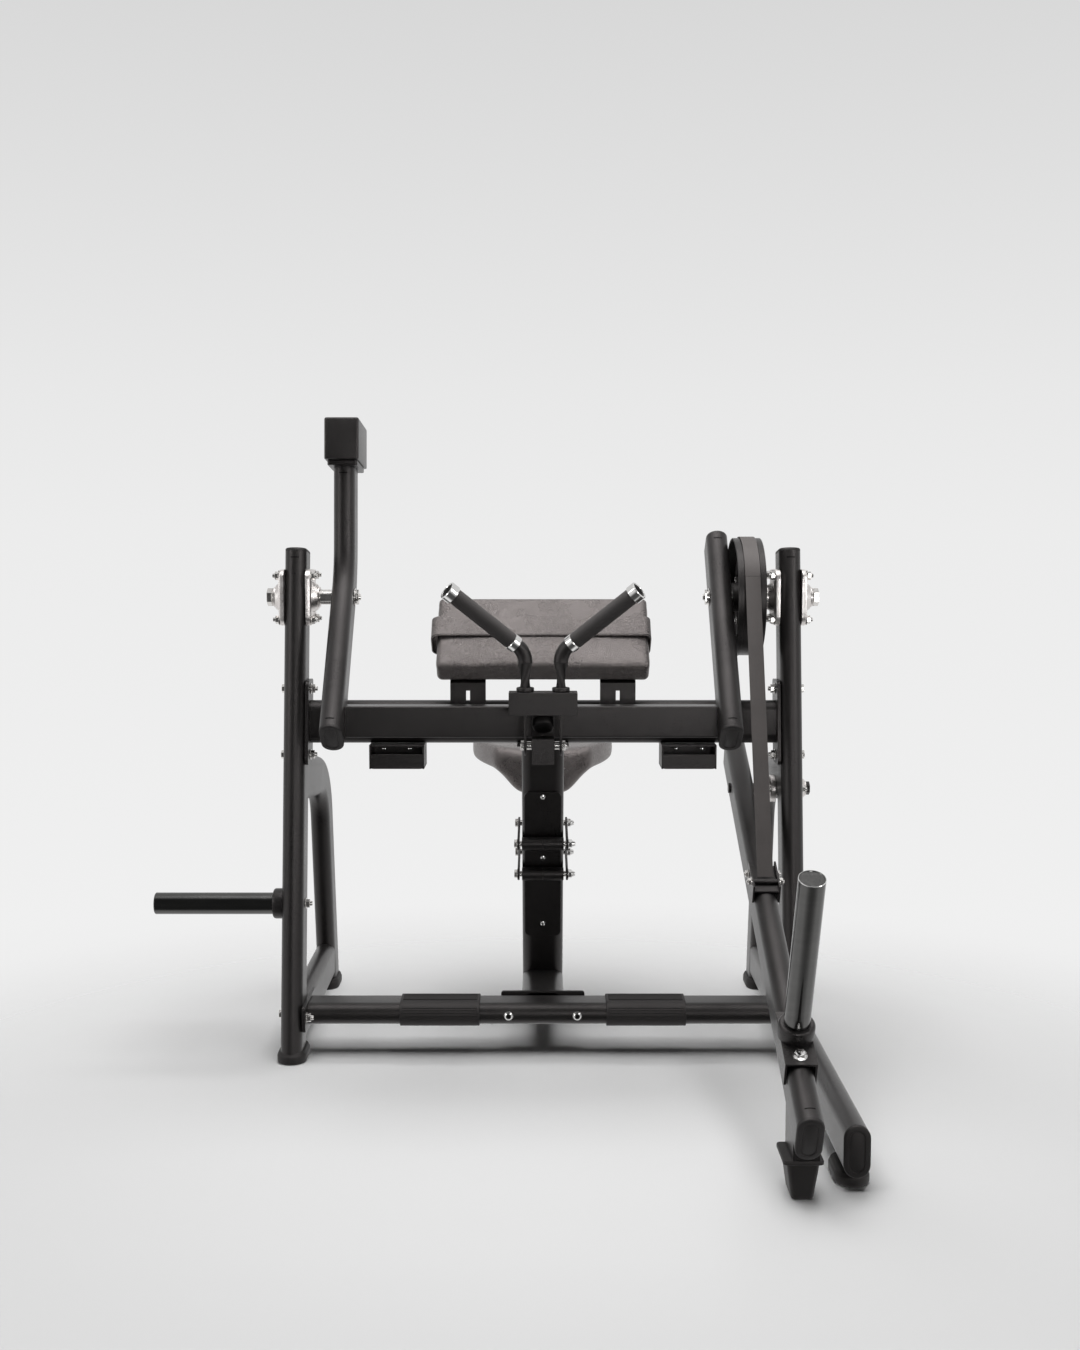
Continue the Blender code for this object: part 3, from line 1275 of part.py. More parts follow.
def pivot_bore(place):
    return rod(place - RIGHT * 2 * PIVOT_TUBE_HALF, place + RIGHT * 2 * PIVOT_TUBE_HALF,
               hole_radius(LINK_PIN_R, PIN_SIDES, RUN_CLEAR), PIN_SIDES)


def pivot_bar(place):
    """Solid of a pivot tube, which is bored once it is welded on."""
    return rod(place - RIGHT * PIVOT_TUBE_HALF, place + RIGHT * PIVOT_TUBE_HALF, PIVOT_TUBE_R, PIN_SIDES)


def make_seat_mount():
    """Plate screwed to the column's face, with the links' two pivot tubes."""
    low = Vector((0, column_y(MOUNT_LOW_Z), MOUNT_LOW_Z))
    high = Vector((0, column_y(MOUNT_TOP_Z), MOUNT_TOP_Z))
    middle = (low + high) / 2 + COLUMN_OUT * (TUBE_WIDE / 2 + GAP)
    outline = rounded_rectangle(MOUNT_WIDE, (high - low).length, MOUNT_ROUND)
    plate = loft([ring_at(middle + COLUMN_OUT * distance, outline, COLUMN_OUT, COLUMN_UP)
                  for distance in (0, MOUNT_PLATE)])
    places = [front_pivot(z) for z in (LINK_UPPER_Z, LINK_LOWER_Z)]
    mount = join(plate, *[pivot_bar(place) for place in places])
    mount = cut(mount, *[pivot_bore(place) for place in places])
    add_piece("seat_mount_plate", "frame", "powder_coat", mount)


def link_plate(z, side):
    """Flat link with round ends from its front pivot to its rear one."""
    start = front_pivot(z)
    end = rear_pivot(z)
    along = (end - start).normalized()
    low, high = sorted((side * LINK_X, side * (LINK_X + LINK_PLATE)))
    middle = (start + end) / 2
    outline = stadium((end - start).length + LINK_TALL, LINK_TALL)
    across = along.cross(RIGHT)
    return loft([[middle + RIGHT * x + across * u + along * v for u, v in outline] for x in (low, high)])


def link_bolt(place):
    """Bolt with a head on the left and a domed cap nut on the right."""
    reach = LINK_X + LINK_PLATE
    far = 2 * reach
    levels = [(-LINK_HEAD, LINK_HEAD_R - LINK_HEAD_EDGE), (-LINK_HEAD + LINK_HEAD_EDGE, LINK_HEAD_R),
              (WELD, LINK_HEAD_R), (WELD, LINK_PIN_R), (far - WELD, LINK_PIN_R), (far - WELD, LINK_HEAD_R),
              (far + LINK_HEAD, LINK_HEAD_R), (far + LINK_DOME, LINK_DOME_R),
              (far + LINK_NUT, LINK_DOME_TIP_R)]
    return turned(place - RIGHT * reach, RIGHT, levels, PIN_SIDES)


def make_links():
    """Two link pairs; each pair's plates are clamped to its two bolts."""
    for z, name, body in ((LINK_UPPER_Z, "seat_link_upper", "upper_link"),
                          (LINK_LOWER_Z, "seat_link_lower", "lower_link")):
        pair = join(link_plate(z, -1), link_plate(z, 1), link_bolt(front_pivot(z)), link_bolt(rear_pivot(z)))
        add_piece(name, body, "powder_coat", pair)


def make_carriage():
    """Post with two pivot tubes through it, the seat's plate and its brace."""
    places = [rear_pivot(z) for z in (LINK_UPPER_Z, LINK_LOWER_Z)]
    front_y = places[1].y - POST_DEEP / 2
    rear_y = front_y + POST_DEEP
    post = block((-POST_HALF, front_y, POST_LOW_Z), (POST_HALF, rear_y, SEAT_PLATE_Z + WELD))
    plate = block((-SEAT_PLATE_HALF, front_y - SEAT_PLATE_LEAD, SEAT_PLATE_Z),
                  (SEAT_PLATE_HALF, SEAT_PLATE_REAR_Y, SEAT_PLATE_Z + SEAT_PLATE))
    tip_y = SEAT_PLATE_REAR_Y - BRACE_INSET
    brace = prism([(rear_y - WELD, SEAT_PLATE_Z + WELD), (rear_y - WELD, SEAT_PLATE_Z - BRACE_DROP),
                   (tip_y, SEAT_PLATE_Z - BRACE_TIP), (tip_y, SEAT_PLATE_Z + WELD)], -BRACE_HALF, BRACE_HALF)
    carriage = join(post, plate, brace, *[pivot_bar(place) for place in places])
    add_piece("seat_carriage", "seat", "powder_coat", cut(carriage, *[pivot_bore(place) for place in places]))


def seat_shape(x, y, z):
    """Saddle point from unit coordinates: dip above, keel and wings below."""
    half_y = SEAT_LONG / 2
    middle_y = SEAT_FRONT_Y + half_y
    share = (y / half_y + 1) / 2
    half_x = SEAT_HALF_FRONT + (SEAT_HALF_REAR - SEAT_HALF_FRONT) * math.sin(share * math.pi / 2)
    reach = x / SEAT_HALF_REAR * half_x
    top = SEAT_TOP_Z - SEAT_DIP * (1 - (reach / half_x) ** 2)
    fall = max(0.0, min(1.0, (abs(reach) - SEAT_KEEL_FLAT) / (SEAT_KEEL_REACH - SEAT_KEEL_FLAT)))
    keel = SEAT_PLATE_Z + SEAT_PLATE + GAP
    bottom = keel + (SEAT_WING_Z - keel) * (0.5 - 0.5 * math.cos(math.pi * fall))
    return Vector((reach, middle_y + y, bottom + (top - bottom) * z))


def make_seat():
    half_z = (SEAT_TOP_Z - SEAT_WING_Z) / 2
    lines_x = spaced(SEAT_HALF_REAR, SEAT_ROUND, 10)
    lines_y = spaced(SEAT_LONG / 2, SEAT_ROUND, 4)
    lines_z = spaced(half_z, SEAT_ROUND, 1)
    solid = lattice_box((lines_x, lines_y, lines_z))
    for vertex in solid.verts:
        rounded = round_corner(vertex.co, (SEAT_HALF_REAR, SEAT_LONG / 2, half_z), SEAT_ROUND)
        vertex.co = seat_shape(rounded.x, rounded.y, (rounded.z / half_z + 1) / 2)
    bmesh.ops.recalc_face_normals(solid, faces=solid.faces)
    add_piece("saddle_seat", "seat", "pad_leather", solid)


# Whole machine

def centre_on_origin():
    """Move everything so that the box's bottom middle is the origin."""
    bpy.context.view_layer.update()
    low = Vector((1e9, 1e9, 1e9))
    high = -low
    for item in bpy.data.objects:
        if item.type == "MESH":
            for vertex in item.data.vertices:
                place = item.matrix_world @ vertex.co
                low = Vector(map(min, low, place))
                high = Vector(map(max, high, place))
    move = -Vector(((low.x + high.x) / 2, (low.y + high.y) / 2, low.z))
    BODIES["frame"][0].location = move
    bpy.context.view_layer.update()
    print("moved by", [round(value, 6) for value in move], "size", [round(value, 4) for value in high - low])


def main():
    clear_scene()
    pivot = (0, PIVOT_Y, PIVOT_Z)
    add_body("frame")
    add_body("lever", pivot, "frame")
    add_body("handles", (0, YOKE_PIVOT_Y, YOKE_PIVOT_Z), "lever")
    add_body("weight_arm", tuple(ARM_PIVOT), "frame")
    add_body("belt", tuple(belt_tangent()[0]), "weight_arm")
    add_body("upper_link", tuple(front_pivot(LINK_UPPER_Z)), "frame")
    add_body("lower_link", tuple(front_pivot(LINK_LOWER_Z)), "frame")
    add_body("seat", tuple(rear_pivot(LINK_UPPER_Z)), "upper_link")
    for side, name in ((-1, "left"), (1, "right")):
        make_side(side, name)
    make_base_cap()
    make_feet()
    make_low_crossbar()
    make_foot_pads()
    make_beam()
    make_trays()
    make_bearings()
    make_lever()
    make_moving_crossbar()
    make_counterweight()
    make_shafts()
    make_cam()
    make_belt()
    make_hub()
    make_yoke()
    make_grips()
    make_weight_arm()
    make_horn()
    make_clevis()
    make_arm_foot()
    make_storage_horn()
    make_pad()
    make_centre()
    make_seat_mount()
    make_links()
    make_carriage()
    make_seat()
    centre_on_origin()


main()
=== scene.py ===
"""Looks of a plate-loaded preacher curl machine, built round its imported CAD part."""
import json
import math

import bmesh
import bpy
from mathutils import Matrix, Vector

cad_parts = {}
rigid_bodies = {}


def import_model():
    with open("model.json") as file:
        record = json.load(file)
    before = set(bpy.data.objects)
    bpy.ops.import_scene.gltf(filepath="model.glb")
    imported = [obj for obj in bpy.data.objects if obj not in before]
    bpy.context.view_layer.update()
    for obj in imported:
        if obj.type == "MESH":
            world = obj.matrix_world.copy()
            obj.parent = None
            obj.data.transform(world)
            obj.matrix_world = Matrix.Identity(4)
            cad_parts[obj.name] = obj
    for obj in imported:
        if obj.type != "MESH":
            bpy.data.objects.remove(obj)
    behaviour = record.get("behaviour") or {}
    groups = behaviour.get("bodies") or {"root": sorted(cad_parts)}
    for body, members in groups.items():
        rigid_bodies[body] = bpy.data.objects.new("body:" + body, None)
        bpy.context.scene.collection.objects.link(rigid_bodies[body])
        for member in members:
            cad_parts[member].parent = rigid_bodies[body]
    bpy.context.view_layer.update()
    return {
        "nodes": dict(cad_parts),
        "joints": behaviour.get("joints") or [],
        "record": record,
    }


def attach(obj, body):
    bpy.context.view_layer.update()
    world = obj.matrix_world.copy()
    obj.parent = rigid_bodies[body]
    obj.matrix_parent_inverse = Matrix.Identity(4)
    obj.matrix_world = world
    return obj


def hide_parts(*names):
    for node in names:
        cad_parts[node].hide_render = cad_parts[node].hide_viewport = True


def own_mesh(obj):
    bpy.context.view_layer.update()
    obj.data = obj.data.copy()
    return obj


for item in list(bpy.data.objects):
    bpy.data.objects.remove(item, do_unlink=True)

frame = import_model()

RIGHT = Vector((1, 0, 0))
BACK = Vector((0, 1, 0))
UP = Vector((0, 0, 1))

# Sizes in the machine's own frame, in metres, as the part has them

GAP = 0.0003
WELD = 0.0015
TUBE_TALL, TUBE_WIDE = 0.100, 0.050
CAP_LIP = 0.007
FRAME_X = 0.575
UPRIGHT_FLOOR_Y, UPRIGHT_LEAN, UPRIGHT_TOP_Z = 0.050, 0.15, 1.160
RIGHT_BASE_FRONT_Y = -0.690
LEG_FOOT_Y, LEG_CORNER_Y, LEG_CORNER_Z, LEG_BEND, LEG_JOIN_Z = 0.660, 0.549, 0.586, 0.150, 0.632
FOOT_LONG, FOOT_WIDE, FOOT_HIGH = 0.118, 0.067, 0.027
LEFT_FOOT_Y, RIGHT_FOOT_Y, REAR_FOOT_Y = 0.059, -0.617, 0.655
LOW_BAR_Y, LOW_BAR_Z = 0.103, 0.100
LOW_BAR_PLATE_Y, LOW_BAR_PLATE_Z, END_PLATE = 0.170, 0.060, 0.008
FOOT_PAD_INNER_X, FOOT_PAD_OUTER_X, FOOT_PAD_THICK = 0.1465, 0.330, 0.0045
BEAM_Z, BEAM_PLATE_Y, BEAM_PLATE_Z = 0.769, 0.078, 0.193
PIVOT_Z = 1.057
SHAFT_R, SHAFT_END_X, SHAFT_NUT_R, SHAFT_NUT = 0.0175, 0.645, 0.021, 0.012
LEFT_SHAFT_IN_X, RIGHT_SHAFT_IN_X = 0.435, 0.382
BEARING_Y, BEARING_Z, BEARING_PLATE = 0.100, 0.130, 0.012
BEARING_HUB_R, BEARING_HUB, BEARING_RACE_R, BEARING_RACE, BEARING_ROUND = 0.034, 0.012, 0.024, 0.005, 0.022
LEVER_LEFT_X, LEVER_RIGHT_X, LEVER_ANGLE = 0.4665, 0.4147, math.radians(39.7)
LEVER_LOWER, LEVER_STUB, LEVER_CORNER = 0.386, 0.155, 0.068
LEVER_UPPER_LEAN, LEVER_TOP_Z, LEVER_BEND = math.radians(5.5), 1.359, 0.220
CROSS_TALL, CROSS_DEEP, CROSS_CORNER, CROSS_Z = 0.070, 0.050, 0.004, 0.787
BLOCK_WIDE, BLOCK_DEEP, BLOCK_TALL, BLOCK_ROUND = 0.080, 0.180, 0.097, 0.006
BLOCK_PLATE_WIDE, BLOCK_PLATE_DEEP, BLOCK_PLATE = 0.070, 0.145, 0.010
CAM_X, CAM_R, CAM_WIDE, CAM_RIM, CAM_WEB, CAM_HUB_R = 0.4744, 0.138, 0.064, 0.007, 0.010, 0.034
BELT_WIDE, BELT_THICK, BELT_KEEP = 0.034, 0.003, 0.598
ARM_FRONT_Y, ARM_FRONT_Z, ARM_REAR = -0.765, 0.132, 0.148
ARM_SHAFT_R, ARM_SHAFT_IN_X, ARM_SHAFT_OUT_X = 0.012, 0.444, 0.638
ARM_SHAFT_NUT_R, ARM_SHAFT_NUT = 0.016, 0.008
ARM_BEARING_LONG, ARM_BEARING_TALL = 0.124, 0.062
ARM_BEARING_HUB_R, ARM_BEARING_RACE_R = 0.026, 0.018
HORN_AT, HORN_R, HORN_TOP, HORN_COLLAR_R, HORN_COLLAR = 0.911, 0.025, 0.420, 0.035, 0.030
SADDLE_HALF, SADDLE_WALL, SADDLE_BACK, SADDLE_FRONT, SADDLE_DROP = 0.0305, 0.005, 0.848, 0.992, 0.045
ARM_FOOT_X, ARM_FOOT_Y, ARM_FOOT_TOP_Z, ARM_FOOT_FLANGE = 0.470, -0.693, 0.078, 0.008
ARM_FOOT_WIDE, ARM_FOOT_LONG, ARM_FOOT_NARROW = 0.074, 0.095, 0.060
ARM_FOOT_TIP_WIDE, ARM_FOOT_TIP_LONG = 0.042, 0.070
CLEVIS_AT, CLEVIS_HALF, CLEVIS_PIN_R = 0.428, 0.0295, 0.005
BELT_END_AT, BELT_END_UP = 0.446, 0.060
STORE_Z, STORE_OUT_X, STORE_COLLAR = 0.352, 0.897, 0.023
YOKE_Y, YOKE_Z, YOKE_WIDE, YOKE_SQUARE = -0.060, 0.836, 0.150, 0.050
YOKE_PIVOT_Y, YOKE_PIVOT_Z, YOKE_PLATE_X, YOKE_PLATE = -0.057, 0.742, 0.037, 0.004
YOKE_PLATE_Y, YOKE_PLATE_BELOW, YOKE_PIN_R = 0.040, 0.022, 0.007
HUB_HALF = 0.0245
BUMPER_R, BUMPER_LONG, BUMPER_Y, BUMPER_Z = 0.0235, 0.017, -0.048, 0.787
HANDLE_X, HANDLE_R, HANDLE_CORNER_Z, HANDLE_BEND = 0.039, 0.016, 0.948, 0.045
HANDLE_TIP = (0.203, -0.126, 1.084)
HANDLE_RING, HANDLE_RING_R = 0.010, 0.0195
GRIP_R, GRIP_COLLAR_R, GRIP_COLLAR, GRIP_COLLAR_AT = 0.018, 0.019, 0.016, 0.026
GRIP_TIP_R, GRIP_TIP = 0.021, 0.020
PAD_WIDE, PAD_THICK, PAD_LONG, PAD_FRONT_Y, PAD_FRONT_Z = 0.496, 0.070, 0.212, 0.080, 0.907
PAD_ANGLE, PAD_CROWN, PAD_ROUND, PAD_DRAW = math.radians(47.9), 0.005, 0.014, 0.003
BAND_FROM, BAND_WIDE, BAND_THICK, BAND_SLACK = 0.086, 0.056, 0.0025, 0.009
PAD_BRACKET_X, PAD_BRACKET_WIDE, PAD_BRACKET, PAD_BRACKET_LOW_Z = 0.173, 0.082, 0.006, 0.742
PAD_SLOT_WIDE, PAD_SLOT_TALL, PAD_SLOT_Z = 0.009, 0.024, 0.832
TRAY_X, TRAY_WIDE, TRAY_DEEP, TRAY_LOW_Z, TRAY_LIP_Z, TRAY_SHEET = 0.338, 0.127, 0.086, 0.663, 0.697, 0.004
CENTRE_PLATE_WIDE, CENTRE_PLATE_TALL, CENTRE_BASE_REAR_Y = 0.197, 0.058, 0.470
COLUMN_FLOOR_Y, COLUMN_LEAN, COLUMN_PLATE = 0.415, -0.31, 0.006
COLUMN_PLATE_WIDE, COLUMN_PLATE_DEEP = 0.120, 0.080
MOUNT_WIDE, MOUNT_PLATE, MOUNT_LOW_Z, MOUNT_TOP_Z, MOUNT_ROUND = 0.087, 0.003, 0.229, 0.604, 0.012
LINK_UPPER_Z, LINK_LOWER_Z, LINK_RUN, LINK_RISE = 0.480, 0.402, 0.165, 0.020
LINK_X, LINK_PLATE, LINK_TALL, LINK_PIN_R = 0.0557, 0.005, 0.030, 0.007
PIVOT_TUBE_R, PIVOT_TUBE_HALF = 0.016, 0.050
POST_HALF, POST_DEEP, POST_LOW_Z = 0.030, 0.030, 0.372
SEAT_PLATE_LEAD, SEAT_PLATE_Z, SEAT_PLATE = 0.012, 0.545, 0.006
SEAT_PLATE_HALF, SEAT_PLATE_REAR_Y = 0.044, 0.640
SEAT_FRONT_Y, SEAT_LONG, SEAT_HALF_FRONT, SEAT_HALF_REAR = 0.430, 0.260, 0.120, 0.1885
SEAT_TOP_Z, SEAT_DIP, SEAT_WING_Z, SEAT_ROUND = 0.676, 0.012, 0.614, 0.020
SEAT_KEEL_FLAT, SEAT_KEEL_REACH = 0.048, 0.130

# Sizes of what only the finished model has

ARC_STEPS, BEND_STEPS, CORNER_STEPS = 14, 18, 12
ROUND_SIDES = 48
SHARP_ANGLE, BEVEL_ANGLE = math.radians(35), math.radians(40)
MERGE = 0.00001
SLOT_BACK, SLOT_LOW_R, SLOT_HIGH_R, SLOT_HALF = 0.016, 0.024, 0.0252, 0.0013
SLOT_REACH, SLOT_STEPS = 23, 8
STORE_COLLAR_R = 0.035
RIB_WIDE, RIB_HIGH, RIB_SHORT, RIB_PITCH, RIB_TURNS = 0.0050, 0.0040, 0.012, 0.0095, (8, 19, 30, 41)
TRAY_BOLT_X, TRAY_BOLT_Y = 0.030, 0.016
BEARING_BOLT_Y, BEARING_BOLT_Z, ARM_BEARING_BOLT, BOLT_SINK = 0.036, 0.051, 0.045, 0.0005
CAM_BOLTS, CAM_BOLT_AT, CAM_BOLT_TURN = 5, 0.085, 0.5
WOUND_FROM, WRAP_TO, WOUND_TO, WOUND_IN = math.radians(144), math.radians(60), math.radians(58), 0.0004
HORN_BOLT_AT, CLEVIS_BOLT_BACK, CLEVIS_BOLT_UP = 0.058, 0.030, 0.044
HEM_FROM, HEM_TO, HEM_PROUD = 0.0016, 0.0034, 0.0002
SCREW_Z = (0.592, 0.436, 0.262)


def upright_y(z):
    return UPRIGHT_FLOOR_Y + UPRIGHT_LEAN * z


def column_y(z):
    return COLUMN_FLOOR_Y + COLUMN_LEAN * z


PIVOT = Vector((0, upright_y(PIVOT_Z), PIVOT_Z))
MOVE = Vector(next(joint["pos_m"] for joint in frame["joints"] if joint["name"] == "lever_swing")) - PIVOT
BEAM_Y = upright_y(BEAM_Z)
BASE_Z = FOOT_HIGH + GAP + TUBE_TALL / 2
FACE_IN = FRAME_X - TUBE_WIDE / 2
FACE_OUT = FRAME_X + TUBE_WIDE / 2
LEVER_DOWN = Vector((0, -math.sin(LEVER_ANGLE), -math.cos(LEVER_ANGLE)))
LEVER_RISE = Vector((0, math.sin(LEVER_UPPER_LEAN), math.cos(LEVER_UPPER_LEAN)))
ARM_PIVOT = Vector((0, 0.250, 0.598))
ARM_FORWARD = (Vector((0, ARM_FRONT_Y, ARM_FRONT_Z)) - ARM_PIVOT).normalized()
ARM_UP = Vector((0, ARM_FORWARD.z, -ARM_FORWARD.y))
ARM_FRONT = (Vector((0, ARM_FRONT_Y, ARM_FRONT_Z)) - ARM_PIVOT).length
PAD_UP = Vector((0, math.cos(PAD_ANGLE), math.sin(PAD_ANGLE)))
PAD_OUT = Vector((0, -math.sin(PAD_ANGLE), math.cos(PAD_ANGLE)))
COLUMN_UP = Vector((0, COLUMN_LEAN, 1)).normalized()
COLUMN_OUT = Vector((0, -1, COLUMN_LEAN)).normalized()
UPRIGHT_UP = Vector((0, UPRIGHT_LEAN, 1)).normalized()
LEG_SLOPE = Vector((0, upright_y(LEG_JOIN_Z) - LEG_CORNER_Y, LEG_JOIN_Z - LEG_CORNER_Z)).normalized()
BODY_OF = {node: body for body, nodes in frame["record"]["behaviour"]["bodies"].items() for node in nodes}


# Finishes

GRAIN_INPUTS = (
    ("Dark", "NodeSocketColor", (0, 0, 0, 1)), ("Pale", "NodeSocketColor", (1, 1, 1, 1)),
    ("Smooth", "NodeSocketFloat", 0.3), ("Dull", "NodeSocketFloat", 0.6),
    ("Grains", "NodeSocketFloat", 900.0), ("Patches", "NodeSocketFloat", 6.0),
    ("Stretch", "NodeSocketVector", (1, 1, 1)))


def shader_group(name, outputs):
    """Empty group for one surface effect, with the inputs that all of them share."""
    group = bpy.data.node_groups.new(name, "ShaderNodeTree")
    for label, kind, value in GRAIN_INPUTS:
        group.interface.new_socket(name=label, in_out="INPUT", socket_type=kind).default_value = value
    for label, kind in outputs:
        group.interface.new_socket(name=label, in_out="OUTPUT", socket_type=kind)
    return group


def placed_coordinates(nodes, links, given):
    """Object coordinates, stretched along the axes as the finish asks."""
    where = nodes.new("ShaderNodeTexCoord")
    stretch = nodes.new("ShaderNodeMapping")
    links.new(where.outputs["Object"], stretch.inputs["Vector"])
    links.new(given.outputs["Stretch"], stretch.inputs["Scale"])
    return stretch.outputs["Vector"]


def noise_of(nodes, links, place, size, detail, roughness=0.55):
    made = nodes.new("ShaderNodeTexNoise")
    made.inputs["Detail"].default_value = detail
    made.inputs["Roughness"].default_value = roughness
    links.new(place, made.inputs["Vector"])
    links.new(size, made.inputs["Scale"])
    return made.outputs["Fac"]


def mapped(nodes, links, value, low, high, first=None, last=None):
    """Value spread from low..high onto 0..1, or onto two linked sockets."""
    made = nodes.new("ShaderNodeMapRange")
    made.inputs["From Min"].default_value = low
    made.inputs["From Max"].default_value = high
    links.new(value, made.inputs["Value"])
    if first:
        links.new(first, made.inputs["To Min"])
        links.new(last, made.inputs["To Max"])
    return made.outputs["Result"]


def mixed_colour(nodes, links, share, first, last):
    made = nodes.new("ShaderNodeMix")
    made.data_type = "RGBA"
    links.new(share, made.inputs["Factor"])
    links.new(first, made.inputs["A"])
    links.new(last, made.inputs["B"])
    return made.outputs["Result"]


def added(nodes, links, first, last, operation="ADD"):
    made = nodes.new("ShaderNodeMath")
    made.operation = operation
    for socket, value in zip(made.inputs, (first, last)):
        if isinstance(value, float):
            socket.default_value = value
        else:
            links.new(value, socket)
    return made.outputs["Value"]


def grain_group(name, cells):
    """Fine grain in height, colour and gloss; cells give leather or foam, otherwise coat or metal."""
    group = shader_group(name, (("Colour", "NodeSocketColor"), ("Roughness", "NodeSocketFloat"),
                                ("Height", "NodeSocketFloat")))
    nodes, links = group.nodes, group.links
    given = nodes.new("NodeGroupInput")
    result = nodes.new("NodeGroupOutput")
    place = placed_coordinates(nodes, links, given)
    fine = noise_of(nodes, links, place, given.outputs["Grains"], 3.0)
    broad = noise_of(nodes, links, place, given.outputs["Patches"], 4.0, 0.62)
    height = fine
    if cells:
        cell = nodes.new("ShaderNodeTexVoronoi")
        cell.feature = "DISTANCE_TO_EDGE"
        links.new(place, cell.inputs["Vector"])
        links.new(given.outputs["Grains"], cell.inputs["Scale"])
        crease = mapped(nodes, links, cell.outputs["Distance"], 0.0, 0.35)
        height = added(nodes, links, crease, added(nodes, links, fine, 0.35, "MULTIPLY"))
    spots = mapped(nodes, links, height, 0.35, 0.75)
    patches = mapped(nodes, links, broad, 0.35, 0.68)
    share = added(nodes, links, added(nodes, links, spots, 0.6, "MULTIPLY"),
                  added(nodes, links, patches, 0.4, "MULTIPLY"))
    links.new(mixed_colour(nodes, links, share, given.outputs["Dark"], given.outputs["Pale"]),
              result.inputs["Colour"])
    links.new(mapped(nodes, links, share, 0.1, 0.9, given.outputs["Smooth"], given.outputs["Dull"]),
              result.inputs["Roughness"])
    links.new(height, result.inputs["Height"])
    return group


COAT_GRAIN = grain_group("coat_grain", False)
LEATHER_GRAIN = grain_group("leather_grain", True)


def finish(name, grain, dark, pale, smooth, dull, metallic=0.0, specular=0.5, bump=0.3, depth=0.0003,
           grains=900.0, patches=6.0, stretch=(1, 1, 1), tint=(1.0, 0.93, 0.92), ior=1.5):
    made = bpy.data.materials.new(name)
    made.use_nodes = True
    nodes, links = made.node_tree.nodes, made.node_tree.links
    shader = nodes["Principled BSDF"]
    shader.inputs["Metallic"].default_value = metallic
    shader.inputs["Specular IOR Level"].default_value = specular
    shader.inputs["IOR"].default_value = ior
    if not metallic:
        shader.inputs["Specular Tint"].default_value = (*tint, 1)
    skin = nodes.new("ShaderNodeGroup")
    skin.node_tree = grain
    for label, value in (("Dark", (*dark, 1)), ("Pale", (*pale, 1)), ("Smooth", smooth), ("Dull", dull),
                         ("Grains", grains), ("Patches", patches), ("Stretch", stretch)):
        skin.inputs[label].default_value = value
    relief = nodes.new("ShaderNodeBump")
    relief.inputs["Strength"].default_value = bump
    relief.inputs["Distance"].default_value = depth
    links.new(skin.outputs["Colour"], shader.inputs["Base Color"])
    links.new(skin.outputs["Roughness"], shader.inputs["Roughness"])
    links.new(skin.outputs["Height"], relief.inputs["Height"])
    links.new(relief.outputs["Normal"], shader.inputs["Normal"])
    return made


LOOKS = {
    "powder_coat": finish("textured_black_coat", COAT_GRAIN, (0.010, 0.0095, 0.0095), (0.026, 0.0245, 0.0240),
                          0.27, 0.40, specular=0.42, bump=0.6, depth=0.0007, grains=650.0),
    "black_rubber": finish("moulded_rubber", COAT_GRAIN, (0.009, 0.0088, 0.0086), (0.022, 0.021, 0.021),
                           0.52, 0.70, specular=0.4, bump=0.35, depth=0.0004, grains=1100.0),
    "rib_rubber": finish("tread_rubber", COAT_GRAIN, (0.012, 0.0115, 0.0115), (0.030, 0.028, 0.028),
                         0.55, 0.72, specular=0.4, bump=0.4, depth=0.0004, grains=1000.0),
    "bright_steel": finish("zinc_plate", COAT_GRAIN, (0.62, 0.60, 0.58), (0.90, 0.88, 0.86), 0.12, 0.26,
                           metallic=1.0, bump=0.08, depth=0.0002, grains=400.0, patches=30.0),
    "polished_chrome": finish("polished_chrome", COAT_GRAIN, (0.80, 0.79, 0.78), (0.92, 0.92, 0.91), 0.05, 0.13,
                              metallic=1.0, bump=0.03, depth=0.0001, grains=300.0, patches=20.0),
    "cast_housing": finish("painted_casting", COAT_GRAIN, (0.66, 0.62, 0.60), (0.92, 0.89, 0.87), 0.26, 0.46,
                           metallic=1.0, bump=0.5, depth=0.0007, grains=420.0, patches=25.0),
    "dark_chrome": finish("dark_chrome", COAT_GRAIN, (0.105, 0.104, 0.102), (0.150, 0.148, 0.145), 0.12, 0.20,
                          metallic=1.0, bump=0.06, depth=0.0001, grains=260.0, patches=12.0, stretch=(1, 1, 6)),
    "belt_grey": finish("woven_belt", COAT_GRAIN, (0.055, 0.050, 0.048), (0.088, 0.080, 0.077), 0.55, 0.72,
                        specular=0.35, bump=0.5, depth=0.0004, grains=900.0, stretch=(0.6, 2.2, 2.2)),
    "pad_leather": finish("grained_leather", LEATHER_GRAIN, (0.018, 0.0165, 0.0160), (0.050, 0.046, 0.045),
                          0.26, 0.38, specular=0.9, ior=1.85, bump=0.6, depth=0.0008, grains=380.0,
                          patches=9.0, tint=(1.0, 0.90, 0.875)),
    "foam_grip": finish("foam_grip", LEATHER_GRAIN, (0.030, 0.028, 0.028), (0.058, 0.055, 0.054), 0.60, 0.80,
                        specular=0.45, bump=0.5, depth=0.0004, grains=700.0),
    # Near-black painted shade for the insides of slots, hex sockets, open tube ends and the band's hem line
    "painted_hole_shade": finish("painted_shade_black", COAT_GRAIN, (0.002, 0.002, 0.002), (0.004, 0.004, 0.004), 0.75, 0.90,
                         specular=0.1, bump=0.1, depth=0.0001),
}


# Outlines and solids

def stadium(tall, wide, inset=0.0):
    """Flat oval: u runs across its narrow side, v along its tall one."""
    radius = wide / 2 - inset
    straight = (tall - wide) / 2
    points = []
    for end in (1, -1):
        for step in range(ARC_STEPS + 1):
            turn = math.pi * step / ARC_STEPS
            points.append((end * radius * math.cos(turn), end * (straight + radius * math.sin(turn))))
    return points


